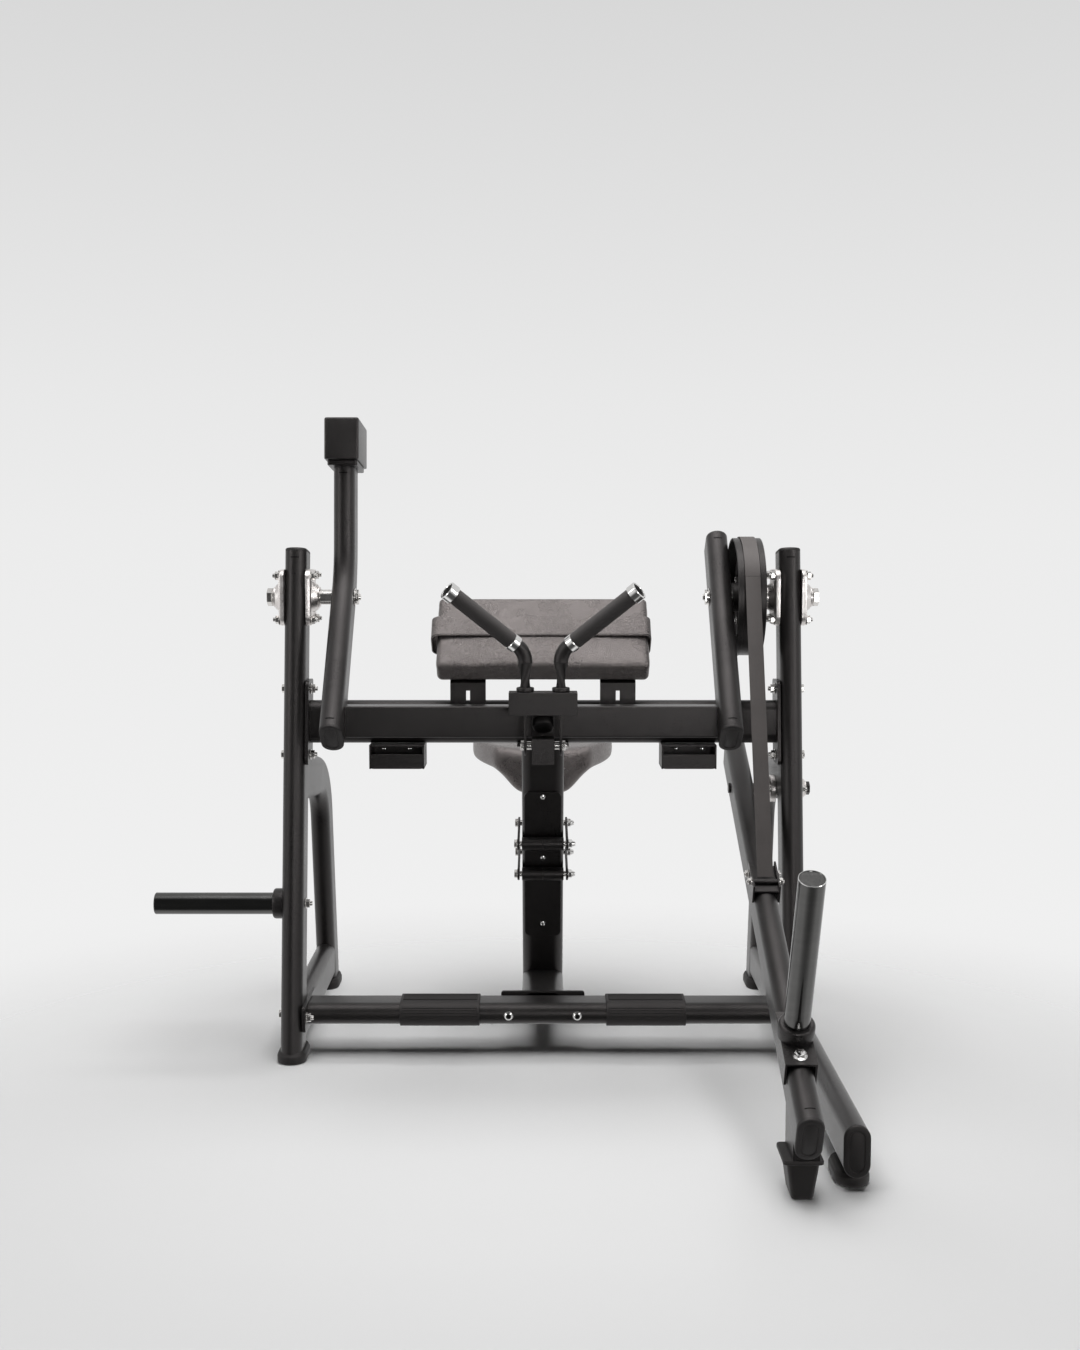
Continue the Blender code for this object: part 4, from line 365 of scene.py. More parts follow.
def rounded_rectangle(tall, wide, radius, steps=6):
    points = []
    for sign_u, sign_v, start in ((1, 1, 0), (-1, 1, 90), (-1, -1, 180), (1, -1, 270)):
        for step in range(steps + 1):
            turn = math.radians(start + 90 * step / steps)
            points.append((sign_u * (wide / 2 - radius) + radius * math.cos(turn),
                           sign_v * (tall / 2 - radius) + radius * math.sin(turn)))
    return points


def circle(radius, sides=ROUND_SIDES):
    return [(radius * math.cos(math.tau * step / sides), radius * math.sin(math.tau * step / sides))
            for step in range(sides)]


def ring_at(place, outline, axis, hint):
    along = Vector(axis).normalized()
    along_u = (hint - along * hint.dot(along)).normalized()
    along_v = along.cross(along_u)
    return [Vector(place) + along_u * u + along_v * v for u, v in outline]


def loft(rings, closed=False):
    """Solid through rings of points; a closed one joins its last ring to its first."""
    solid = bmesh.new()
    loops = [[solid.verts.new(point) for point in ring] for ring in rings]
    count = len(rings[0])
    for near, far in zip(loops, loops[1:] + (loops[:1] if closed else [])):
        for i in range(count):
            j = (i + 1) % count
            solid.faces.new((near[i], near[j], far[j], far[i]))
    if not closed:
        solid.faces.new(loops[0])
        solid.faces.new(loops[-1])
    bmesh.ops.recalc_face_normals(solid, faces=solid.faces)
    return solid


def hint_for(axis):
    return UP if abs(Vector(axis).normalized().z) < 0.9 else BACK


def turned(start, axis, profile, sides=ROUND_SIDES, closed=False):
    """Solid of revolution through (distance, radius) pairs; a closed one is a ring."""
    axis = Vector(axis).normalized()
    return loft([ring_at(Vector(start) + axis * distance, circle(radius, sides), axis, hint_for(axis))
                 for distance, radius in profile], closed)


def rod(start, end, radius, sides=ROUND_SIDES, edge=0.0008):
    reach = Vector(end) - Vector(start)
    return turned(start, reach, ((0, radius - edge), (edge, radius), (reach.length - edge, radius),
                                 (reach.length, radius - edge)), sides)


def sleeve(start, axis, length, outer, bore, edge=0.001):
    return turned(start, axis, ((0, bore), (0, outer - edge), (edge, outer), (length - edge, outer),
                                (length, outer - edge), (length, bore)), closed=True)


def prism(points, start_x, end_x):
    return loft([[Vector((x, y, z)) for y, z in points] for x in (start_x, end_x)])


def block(low, high):
    solid = bmesh.new()
    bmesh.ops.create_cube(solid, size=1.0)
    bmesh.ops.scale(solid, vec=Vector(high) - Vector(low), verts=solid.verts)
    bmesh.ops.translate(solid, vec=(Vector(high) + Vector(low)) / 2, verts=solid.verts)
    return solid


def stepped(place, axis, hint, outline_of, levels):
    """Loft of one outline along an axis; levels are (distance, inset) pairs."""
    axis = Vector(axis).normalized()
    return loft([ring_at(Vector(place) + axis * distance, outline_of(inset), axis, hint)
                 for distance, inset in levels])


def held_object(solid):
    mesh = bpy.data.meshes.new("held")
    solid.to_mesh(mesh)
    solid.free()
    held = bpy.data.objects.new("held", mesh)
    bpy.context.collection.objects.link(held)
    return held


def cut(solid, tool):
    """Solid after a Boolean difference, as new geometry."""
    target, other = held_object(solid), held_object(tool)
    step = target.modifiers.new("cut", "BOOLEAN")
    step.operation = "DIFFERENCE"
    step.object = other
    result = bmesh.new()
    result.from_object(target, bpy.context.evaluated_depsgraph_get())
    for item in (target, other):
        bpy.data.objects.remove(item, do_unlink=True)
    return result


# Geometry Nodes

def geometry_tree(name, inputs):
    tree = bpy.data.node_groups.new(name, "GeometryNodeTree")
    tree.interface.new_socket(name="Geometry", in_out="INPUT", socket_type="NodeSocketGeometry")
    for label, kind in inputs:
        tree.interface.new_socket(name=label, in_out="INPUT", socket_type=kind)
    tree.interface.new_socket(name="Material", in_out="INPUT", socket_type="NodeSocketMaterial")
    tree.interface.new_socket(name="Geometry", in_out="OUTPUT", socket_type="NodeSocketGeometry")
    return tree, tree.nodes.new("NodeGroupInput")


def end_tree(tree, given, shape):
    """Realize Instances and Set Material, which every tree ends in."""
    whole = tree.nodes.new("GeometryNodeRealizeInstances")
    coat = tree.nodes.new("GeometryNodeSetMaterial")
    result = tree.nodes.new("NodeGroupOutput")
    tree.links.new(shape, whole.inputs["Geometry"])
    tree.links.new(whole.outputs["Geometry"], coat.inputs["Geometry"])
    tree.links.new(given.outputs["Material"], coat.inputs["Material"])
    tree.links.new(coat.outputs["Geometry"], result.inputs["Geometry"])
    return tree


def tube_tree():
    """Rolled section drawn along a path whose corners are bends."""
    tree, given = geometry_tree("bent_tube", (
        ("Bend", "NodeSocketFloat"), ("Bend Steps", "NodeSocketInt"), ("Across", "NodeSocketFloat"),
        ("Along", "NodeSocketFloat"), ("Corner", "NodeSocketFloat"), ("Corner Steps", "NodeSocketInt")))
    nodes, links = tree.nodes, tree.links
    path = nodes.new("GeometryNodeMeshToCurve")
    links.new(given.outputs["Geometry"], path.inputs["Mesh"])
    section = nodes.new("GeometryNodeCurvePrimitiveQuadrilateral")
    links.new(given.outputs["Across"], section.inputs["Width"])
    links.new(given.outputs["Along"], section.inputs["Height"])
    rounded = []
    for curve, radius, steps in ((path.outputs["Curve"], "Bend", "Bend Steps"),
                                 (section.outputs["Curve"], "Corner", "Corner Steps")):
        fillet = nodes.new("GeometryNodeFilletCurve")
        fillet.mode = "POLY"
        fillet.inputs["Limit Radius"].default_value = True
        links.new(curve, fillet.inputs["Curve"])
        links.new(given.outputs[radius], fillet.inputs["Radius"])
        links.new(given.outputs[steps], fillet.inputs["Count"])
        rounded.append(fillet.outputs["Curve"])
    level = nodes.new("GeometryNodeSetCurveNormal")
    level.mode = "Z_UP"
    links.new(rounded[0], level.inputs["Curve"])
    skin = nodes.new("GeometryNodeCurveToMesh")
    skin.inputs["Fill Caps"].default_value = True
    links.new(level.outputs["Curve"], skin.inputs["Curve"])
    links.new(rounded[1], skin.inputs["Profile Curve"])
    return end_tree(tree, given, skin.outputs["Mesh"])


def raised(tree, shape, height):
    """Shape lifted along its own axis by a linked height."""
    lift = tree.nodes.new("ShaderNodeCombineXYZ")
    move = tree.nodes.new("GeometryNodeTransform")
    tree.links.new(height, lift.inputs["Z"])
    tree.links.new(shape, move.inputs["Geometry"])
    tree.links.new(lift.outputs["Vector"], move.inputs["Translation"])
    return move.outputs["Geometry"]


def fastener_tree():
    """Washer, head or nut, and tip, set on every point along its facing direction."""
    tree, given = geometry_tree("fasteners", (
        ("Sides", "NodeSocketInt"), ("Radius", "NodeSocketFloat"), ("Height", "NodeSocketFloat"),
        ("Washer", "NodeSocketFloat"), ("Washer Thick", "NodeSocketFloat"), ("Tip", "NodeSocketFloat"),
        ("Tip Top", "NodeSocketFloat"), ("Tip Height", "NodeSocketFloat")))
    nodes, links = tree.nodes, tree.links
    out = given.outputs
    washer = nodes.new("GeometryNodeMeshCylinder")
    washer.inputs["Vertices"].default_value = 20
    links.new(out["Washer"], washer.inputs["Radius"])
    links.new(out["Washer Thick"], washer.inputs["Depth"])
    head = nodes.new("GeometryNodeMeshCylinder")
    links.new(out["Sides"], head.inputs["Vertices"])
    links.new(out["Radius"], head.inputs["Radius"])
    links.new(out["Height"], head.inputs["Depth"])
    tip = nodes.new("GeometryNodeMeshCone")
    tip.inputs["Vertices"].default_value = 16
    links.new(out["Tip"], tip.inputs["Radius Bottom"])
    links.new(out["Tip Top"], tip.inputs["Radius Top"])
    links.new(out["Tip Height"], tip.inputs["Depth"])
    top = added(nodes, links, out["Washer Thick"], out["Height"])
    middle = added(nodes, links, out["Washer Thick"], added(nodes, links, out["Height"], 0.5, "MULTIPLY"))
    whole = nodes.new("GeometryNodeJoinGeometry")
    for shape, height in ((washer.outputs["Mesh"], added(nodes, links, out["Washer Thick"], 0.5, "MULTIPLY")),
                          (head.outputs["Mesh"], middle), (tip.outputs["Mesh"], top)):
        links.new(raised(tree, shape, height), whole.inputs["Geometry"])
    return end_tree(tree, given, on_points(tree, given, whole.outputs["Geometry"]))


def rib_tree():
    """Straight moulded rib, set on every point with its back to its facing direction."""
    tree, given = geometry_tree("ribs", (("Size", "NodeSocketVector"),))
    rib = tree.nodes.new("GeometryNodeMeshCube")
    tree.links.new(given.outputs["Size"], rib.inputs["Size"])
    return end_tree(tree, given, on_points(tree, given, rib.outputs["Mesh"]))


def on_points(tree, given, shape):
    facing = tree.nodes.new("GeometryNodeInputNamedAttribute")
    facing.data_type = "FLOAT_VECTOR"
    facing.inputs["Name"].default_value = "facing"
    turn = tree.nodes.new("FunctionNodeAlignRotationToVector")
    turn.axis = "Z"
    tree.links.new(facing.outputs["Attribute"], turn.inputs["Vector"])
    spread = tree.nodes.new("GeometryNodeInstanceOnPoints")
    tree.links.new(given.outputs["Geometry"], spread.inputs["Points"])
    tree.links.new(shape, spread.inputs["Instance"])
    tree.links.new(turn.outputs["Rotation"], spread.inputs["Rotation"])
    return spread.outputs["Instances"]


def grown(tree, points, values, facing=None):
    """Plain solid that a tree makes on a path, or on points that face a way."""
    edges = [] if facing else [(i, i + 1) for i in range(len(points) - 1)]
    mesh = bpy.data.meshes.new("guide")
    mesh.from_pydata([Vector(point) for point in points], edges, [])
    if facing:
        ways = mesh.attributes.new("facing", "FLOAT_VECTOR", "POINT")
        ways.data.foreach_set("vector", [value for way in facing for value in Vector(way).normalized()])
    guide = bpy.data.objects.new("guide", mesh)
    step = guide.modifiers.new(tree.name, "NODES")
    step.node_group = tree
    for socket in tree.interface.items_tree:
        if socket.in_out == "INPUT" and socket.name in values:
            step[socket.identifier] = values[socket.name]
    bpy.context.collection.objects.link(guide)
    made = bpy.data.meshes.new_from_object(guide.evaluated_get(bpy.context.evaluated_depsgraph_get()))
    guide.modifiers.remove(step)
    bpy.data.objects.remove(guide, do_unlink=True)
    solid = bmesh.new()
    solid.from_mesh(made)
    bpy.data.meshes.remove(made)
    bmesh.ops.remove_doubles(solid, verts=solid.verts, dist=MERGE)
    bmesh.ops.recalc_face_normals(solid, faces=solid.faces)
    return solid


TUBE = tube_tree()
FASTENER = fastener_tree()
RIB = rib_tree()


def tube(corners, bend=0.0, across=TUBE_WIDE, along=TUBE_TALL, corner=None):
    radius = min(across, along) / 2 if corner is None else corner
    values = {"Bend": bend, "Bend Steps": BEND_STEPS, "Across": across, "Along": along, "Corner": radius,
              "Corner Steps": CORNER_STEPS, "Material": LOOKS["powder_coat"]}
    return grown(TUBE, corners, values)


# Finished pieces

def piece(name, body, look, *solids, stands_for=(), edge=0.0, placed=False):
    """One finished object from solids in the machine's frame; edge breaks its sharp edges."""
    whole = bmesh.new()
    for solid in solids:
        mesh = bpy.data.meshes.new("held")
        solid.to_mesh(mesh)
        solid.free()
        whole.from_mesh(mesh)
        bpy.data.meshes.remove(mesh)
    if not placed:
        bmesh.ops.translate(whole, verts=whole.verts, vec=MOVE)
    mesh = bpy.data.meshes.new(name)
    whole.to_mesh(mesh)
    whole.free()
    mesh.shade_smooth()
    mesh.set_sharp_from_angle(angle=SHARP_ANGLE)
    mesh.materials.clear()
    mesh.materials.append(LOOKS[look])
    made = bpy.data.objects.new(name, mesh)
    bpy.context.collection.objects.link(made)
    if edge:
        bevel = made.modifiers.new("broken_edges", "BEVEL")
        bevel.width = edge
        bevel.segments = 2
        bevel.limit_method = "ANGLE"
        bevel.angle_limit = BEVEL_ANGLE
    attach(made, body)
    if stands_for:
        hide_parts(*stands_for)
    return made


def fine(node, look, *solids, **rest):
    """Finished piece that stands for one CAD node and rides as it does."""
    return piece(node + "_fine", BODY_OF[node], look, *solids, stands_for=(node,), **rest)


def dressed(node, look, edge=0.0008):
    """Finished copy of a CAD node whose shape is right, with broken edges."""
    solid = bmesh.new()
    solid.from_mesh(frame["nodes"][node].data)
    bmesh.ops.remove_doubles(solid, verts=solid.verts, dist=MERGE)
    bmesh.ops.dissolve_limit(solid, angle_limit=math.radians(1), verts=solid.verts, edges=solid.edges)
    return fine(node, look, solid, edge=edge, placed=True)


def fasteners(name, body, places, look="bright_steel", sides=6, radius=0.0095, height=0.007, washer=0.0115,
              washer_thick=0.0018, tip=0.0, tip_top=0.0, tip_height=0.0005):
    """Set of like fasteners; places are (place, facing) pairs."""
    tip = tip or radius * 0.8
    values = {"Sides": sides, "Radius": radius, "Height": height, "Washer": washer,
              "Washer Thick": washer_thick, "Tip": tip, "Tip Top": tip_top or tip * 0.86,
              "Tip Height": tip_height, "Material": LOOKS[look]}
    solid = grown(FASTENER, [place for place, _ in places], values, [way for _, way in places])
    return piece(name, body, look, solid, edge=0.0004)


def tube_cap(end, outward, hint=RIGHT):
    """Rubber cap with a rounded rim and a sunk oval face."""
    levels = ((GAP, 0.0), (0.0042, 0.0), (0.0060, 0.0008), (CAP_LIP, 0.0024), (CAP_LIP, 0.0102),
              (CAP_LIP - 0.0014, 0.0112), (CAP_LIP - 0.0014, 0.0130), (CAP_LIP - 0.0008, 0.0140))
    return stepped(end, outward, hint, lambda inset: stadium(TUBE_TALL, TUBE_WIDE, inset), levels)


def slot_shade(end, along, out, back=SLOT_BACK):
    """Dash of painted shade where a slot crosses a tube's rounded face, short of its end."""
    way = Vector(along).normalized()
    middle = Vector(end) - way * back + Vector(out) * (TUBE_TALL / 2 - TUBE_WIDE / 2)
    corners = ((SLOT_LOW_R, -SLOT_HALF), (SLOT_HIGH_R, -SLOT_HALF), (SLOT_HIGH_R, SLOT_HALF),
               (SLOT_LOW_R, SLOT_HALF))
    rings = []
    for step in range(SLOT_STEPS + 1):
        turn = math.radians(-SLOT_REACH + 2 * SLOT_REACH * step / SLOT_STEPS)
        reach = Vector(out) * math.cos(turn) + RIGHT * math.sin(turn)
        rings.append([middle + reach * radius + way * shift for radius, shift in corners])
    return loft(rings)


def lever_point(distance, x=0.0):
    return Vector((x, 0, 0)) + PIVOT + LEVER_DOWN * distance


def arm_place(distance, height, x=CAM_X):
    return ARM_PIVOT + ARM_FORWARD * distance + ARM_UP * height + RIGHT * x


def across_of(direction):
    """Direction square to a tube in its side plane, on the side that faces forward or up."""
    return RIGHT.cross(Vector(direction).normalized())


# Side frames

def make_side(side, name):
    x = side * FRAME_X
    low_z = BASE_Z if side > 0 else 0.015
    top = Vector((x, upright_y(UPRIGHT_TOP_Z), UPRIGHT_TOP_Z))
    solids = [tube(((x, upright_y(low_z), low_z), top))]
    if side < 0:
        start = Vector((-(FACE_OUT - WELD), upright_y(STORE_Z), STORE_Z))
        levels = ((0, STORE_COLLAR_R), (STORE_COLLAR - 0.004, STORE_COLLAR_R), (STORE_COLLAR, 0.0335),
                  (STORE_COLLAR + WELD, 0.031))
        solids.append(turned(start, -RIGHT, levels))
    fine("upright_" + name, "powder_coat", *solids)
    fine("upright_cap_" + name, "black_rubber", tube_cap(top, UPRIGHT_UP))
    front_y = upright_y(BASE_Z) if side < 0 else RIGHT_BASE_FRONT_Y
    base = tube(((x, front_y, BASE_Z), (x, LEG_FOOT_Y - TUBE_WIDE, BASE_Z)), across=TUBE_WIDE - 4 * GAP)
    fine("base_tube_" + name, "powder_coat", base)
    leg = ((x, LEG_FOOT_Y + 0.0024, 0.015), (x, LEG_CORNER_Y, LEG_CORNER_Z),
           (x, upright_y(LEG_JOIN_Z), LEG_JOIN_Z))
    fine("rear_leg_" + name, "powder_coat", tube(leg, LEG_BEND, TUBE_WIDE - 2 * GAP))
    # Painted shade in the slot near the upright's top
    piece("upright_slot_shade_" + name, "frame", "painted_hole_shade", slot_shade(top, UPRIGHT_UP, -across_of(-UPRIGHT_UP)))


def oval_foot(x, y):
    """Rubber shoe with a rounded sole and a lip that narrows to the tube."""
    levels = ((0, 0.005), (0.0012, 0.002), (0.004, 0.0003), (0.0065, 0), (0.0175, 0), (0.0195, 0.0006),
              (0.0205, 0.0018), (0.0245, 0.0030), (0.0262, 0.0042), (FOOT_HIGH, 0.0062))
    return stepped((x, y, 0), UP, RIGHT, lambda inset: stadium(FOOT_LONG, FOOT_WIDE, inset), levels)


def make_feet():
    for name, x, y in (("foot_front_left", -FRAME_X, LEFT_FOOT_Y), ("foot_front_right", FRAME_X, RIGHT_FOOT_Y),
                       ("foot_rear_left", -FRAME_X, REAR_FOOT_Y), ("foot_rear_right", FRAME_X, REAR_FOOT_Y)):
        fine(name, "black_rubber", oval_foot(x, y))


# Crossbar, beam and what hangs on them

def make_low_crossbar():
    end = FACE_IN - GAP
    ends = [(x, LOW_BAR_Y, LOW_BAR_Z) for x in (-end, end)]
    solids = [tube(ends, across=TUBE_TALL, along=TUBE_WIDE)]
    outline = rounded_rectangle(LOW_BAR_PLATE_Z, LOW_BAR_PLATE_Y, 0.008)
    for side in (-1, 1):
        low, high = sorted((side * end, side * (end - END_PLATE)))
        solids.append(loft([ring_at((x, LOW_BAR_Y, LOW_BAR_Z), outline, RIGHT, BACK) for x in (low, high)]))
    fine("low_crossbar", "powder_coat", *solids, edge=0.0006)


def make_foot_pads():
    top = LOW_BAR_Z + TUBE_WIDE / 2 + FOOT_PAD_THICK
    front = LOW_BAR_Y - TUBE_TALL / 2 - FOOT_PAD_THICK
    middle_x = (FOOT_PAD_INNER_X + FOOT_PAD_OUTER_X) / 2
    half = (FOOT_PAD_OUTER_X - FOOT_PAD_INNER_X) / 2
    tall, wide = TUBE_TALL + 2 * FOOT_PAD_THICK, TUBE_WIDE + 2 * FOOT_PAD_THICK
    levels = ((-half, 0.004), (-half, 0.001), (-half + 0.001, 0), (half - 0.001, 0), (half, 0.001),
              (half, 0.004))
    values = {"Size": (2 * half - RIB_SHORT, RIB_WIDE, RIB_HIGH), "Material": LOOKS["rib_rubber"]}
    for side, name in ((-1, "left"), (1, "right")):
        centre = Vector((side * middle_x, LOW_BAR_Y, LOW_BAR_Z))
        sleeve_solid = stepped(centre, RIGHT, UP, lambda inset: stadium(tall, wide, inset), levels)
        places, ways = [], []
        for step in range(5):
            places.append(Vector((centre.x, LOW_BAR_Y + (step - 2) * RIB_PITCH, top)))
            ways.append(UP)
        for degrees in RIB_TURNS:
            turn = math.radians(degrees)
            way = Vector((0, -math.cos(turn), math.sin(turn)))
            places.append(Vector((centre.x, front + wide / 2, LOW_BAR_Z)) + way * wide / 2)
            ways.append(way)
        ribs = grown(RIB, places, values, ways)
        fine("foot_pad_" + name, "rib_rubber", sleeve_solid, ribs, edge=0.0005)


def pad_bracket(side):
    """Slotted upright plate on the beam that bends to lie under the pad."""
    rear_y = BEAM_Y - TUBE_WIDE / 2 + WELD
    front_y = rear_y - WELD - PAD_BRACKET
    under = Vector((0, PAD_FRONT_Y, PAD_FRONT_Z)) - PAD_OUT * (PAD_THICK + GAP)

    def on_line(offset, y):
        start = under - PAD_OUT * offset
        return start + PAD_UP * ((y - start.y) / PAD_UP.y)

    turn_y = front_y + PAD_BRACKET
    top = under + PAD_UP * (BAND_FROM - 0.002)
    far = top - PAD_OUT * PAD_BRACKET
    bend = on_line(PAD_BRACKET, turn_y)
    start = on_line(0, max(front_y, under.y))
    points = [(front_y, PAD_BRACKET_LOW_Z), (rear_y, PAD_BRACKET_LOW_Z), (rear_y, BEAM_Z),
              (turn_y, BEAM_Z + TUBE_TALL / 2), (turn_y, bend.z), (far.y, far.z), (top.y, top.z),
              (start.y, start.z)]
    if start.y > front_y:
        points.append((front_y, start.z))
    x = side * PAD_BRACKET_X
    plate = prism(points, x - PAD_BRACKET_WIDE / 2, x + PAD_BRACKET_WIDE / 2)
    return cut(plate, block((x - PAD_SLOT_WIDE / 2, front_y - PAD_BRACKET, PAD_SLOT_Z - PAD_SLOT_TALL / 2),
                            (x + PAD_SLOT_WIDE / 2, rear_y + PAD_BRACKET, PAD_SLOT_Z + PAD_SLOT_TALL / 2)))


def make_beam():
    end = FACE_IN - GAP
    solids = [tube(((-end, BEAM_Y, BEAM_Z), (end, BEAM_Y, BEAM_Z)))]
    outline = rounded_rectangle(BEAM_PLATE_Z, BEAM_PLATE_Y, 0.012)
    for side in (-1, 1):
        rings = []
        for x in (side * end, side * (end - END_PLATE)):
            rings.append([Vector((x, BEAM_Y + u + UPRIGHT_LEAN * v, BEAM_Z + v)) for u, v in outline])
        solids.append(loft(rings))
    fine("fixed_beam", "powder_coat", *solids, pad_bracket(-1), pad_bracket(1), edge=0.0006)


def make_trays():
    """Open sheet trays under the beam: floor, back, sides and a front lip."""
    top = BEAM_Z - TUBE_TALL / 2 - GAP
    front, rear = BEAM_Y - TRAY_DEEP / 2, BEAM_Y + TRAY_DEEP / 2
    for side, name in ((-1, "left"), (1, "right")):
        left, right = side * TRAY_X - TRAY_WIDE / 2, side * TRAY_X + TRAY_WIDE / 2
        solids = [block((left, front, TRAY_LOW_Z + 0.001), (right, rear, TRAY_LOW_Z + 0.001 + TRAY_SHEET)),
                  block((left + 0.001, rear - TRAY_SHEET, TRAY_LOW_Z), (right - 0.001, rear, top)),
                  block((left, front, TRAY_LOW_Z), (left + TRAY_SHEET, rear, top)),
                  block((right - TRAY_SHEET, front, TRAY_LOW_Z), (right, rear, top)),
                  block((left + 0.001, front, top - TRAY_SHEET), (right - 0.001, rear, top))]
        outline = rounded_rectangle(TRAY_LIP_Z - TRAY_LOW_Z, TRAY_WIDE - 0.004, 0.007)
        middle = Vector((side * TRAY_X, front + 0.0005, (TRAY_LIP_Z + TRAY_LOW_Z) / 2))
        solids.append(loft([ring_at(middle + BACK * shift, outline, BACK, RIGHT) for shift in (0, TRAY_SHEET)]))
        fine("tray_" + name, "powder_coat", *solids, edge=0.0007)
        spots = [Vector((side * TRAY_X + shift, front + TRAY_BOLT_Y, top - TRAY_SHEET))
                 for shift in (-TRAY_BOLT_X, TRAY_BOLT_X)]
        fasteners("tray_washers_" + name, "frame", [(spot, -UP) for spot in spots], "black_rubber", sides=20,
                  radius=0.012, height=0.0015, washer=0.0125)
        fasteners("tray_bolts_" + name, "frame", [(spot - UP * 0.003, -UP - BACK * 0.2) for spot in spots],
                  "polished_chrome", sides=16, radius=0.0055, height=0.0030, washer=0.006, tip=0.0052,
                  tip_top=0.002, tip_height=0.0022)


# Pivots and bearings

def flange(face, outward, outline_of, hub_r, race_r, hint):
    """Cast flange with softened edges, a tapered hub and a race."""
    face, outward = Vector(face), Vector(outward)
    plate = stepped(face, outward, hint, outline_of,
                    ((GAP, 0), (0.0085, 0), (0.0108, 0.0010), (BEARING_PLATE, 0.0032)))
    hub_end = BEARING_PLATE + BEARING_HUB
    levels = ((0.008, hub_r + 0.002), (BEARING_PLATE, hub_r + 0.0015), (BEARING_PLATE + 0.002, hub_r),
              (hub_end - 0.002, 0.88 * hub_r), (hub_end, 0.84 * hub_r), (hub_end, race_r),
              (hub_end + BEARING_RACE - 0.001, race_r), (hub_end + BEARING_RACE, race_r - 0.001))
    return [plate, turned(face, outward, levels)]


def lever_bearing_outline(inset):
    return rounded_rectangle(BEARING_Y - 2 * inset, BEARING_Z - 2 * inset, BEARING_ROUND - inset)


def arm_bearing_outline(inset):
    return stadium(ARM_BEARING_LONG, ARM_BEARING_TALL, inset)


def make_bearings():
    faces = ((FACE_IN, -1, "inner"), (FACE_OUT, 1, "outer"))
    for side, name in ((-1, "left"), (1, "right")):
        for face, way, spot in faces:
            outward = RIGHT * side * way
            solids = flange((side * face, PIVOT.y, PIVOT.z), outward, lever_bearing_outline, BEARING_HUB_R,
                            BEARING_RACE_R, UP)
            fine("lever_bearing_" + name + "_" + spot, "cast_housing", *solids)
            spots = [Vector((side * face, PIVOT.y + y, PIVOT.z + z)) + outward * (BEARING_PLATE - BOLT_SINK)
                     for y in (-BEARING_BOLT_Y, BEARING_BOLT_Y) for z in (-BEARING_BOLT_Z, BEARING_BOLT_Z)]
            fasteners("bearing_bolts_" + name + "_" + spot, "frame", [(place, outward) for place in spots],
                      radius=0.0098, height=0.0075, washer=0.0125, tip=0.0055, tip_height=0.006)
    for face, way, spot in faces:
        outward = RIGHT * way
        solids = flange(ARM_PIVOT + RIGHT * face, outward, arm_bearing_outline, ARM_BEARING_HUB_R,
                        ARM_BEARING_RACE_R, RIGHT.cross(LEG_SLOPE))
        fine("arm_bearing_" + spot, "cast_housing", *solids)
        spots = [ARM_PIVOT + RIGHT * face + LEG_SLOPE * shift + outward * (BEARING_PLATE - BOLT_SINK)
                 for shift in (-ARM_BEARING_BOLT, ARM_BEARING_BOLT)]
        fasteners("arm_bearing_bolts_" + spot, "frame", [(place, outward) for place in spots],
                  radius=0.0092, height=0.007, tip=0.005, tip_height=0.005)


def make_shafts():
    for side, name, start in ((-1, "left", LEFT_SHAFT_IN_X), (1, "right", RIGHT_SHAFT_IN_X)):
        way = RIGHT * side
        begin = Vector((side * start, PIVOT.y, PIVOT.z))
        nut = SHAFT_END_X - start - SHAFT_NUT
        solids = [rod(begin, begin + way * (nut + 0.004), SHAFT_R, edge=0.0015),
                  rod(begin + way * nut, begin + way * (nut + SHAFT_NUT), SHAFT_NUT_R, 6, 0.0012),
                  rod(begin + way * (nut - 0.002), begin + way * nut, SHAFT_NUT_R)]
        fine("lever_shaft_" + name, "bright_steel", *solids)


# Lever

def left_arm_top():
    """Corner and top of the left lever arm's bent upper end."""
    corner = lever_point(-LEVER_CORNER, -LEVER_LEFT_X)
    rise = LEVER_TOP_Z - corner.z
    return corner, corner + Vector((0, rise * math.tan(LEVER_UPPER_LEAN), rise))


def top_plate_outline(inset):
    return rounded_rectangle(BLOCK_PLATE_DEEP - 2 * inset, BLOCK_PLATE_WIDE - 2 * inset, 0.006)


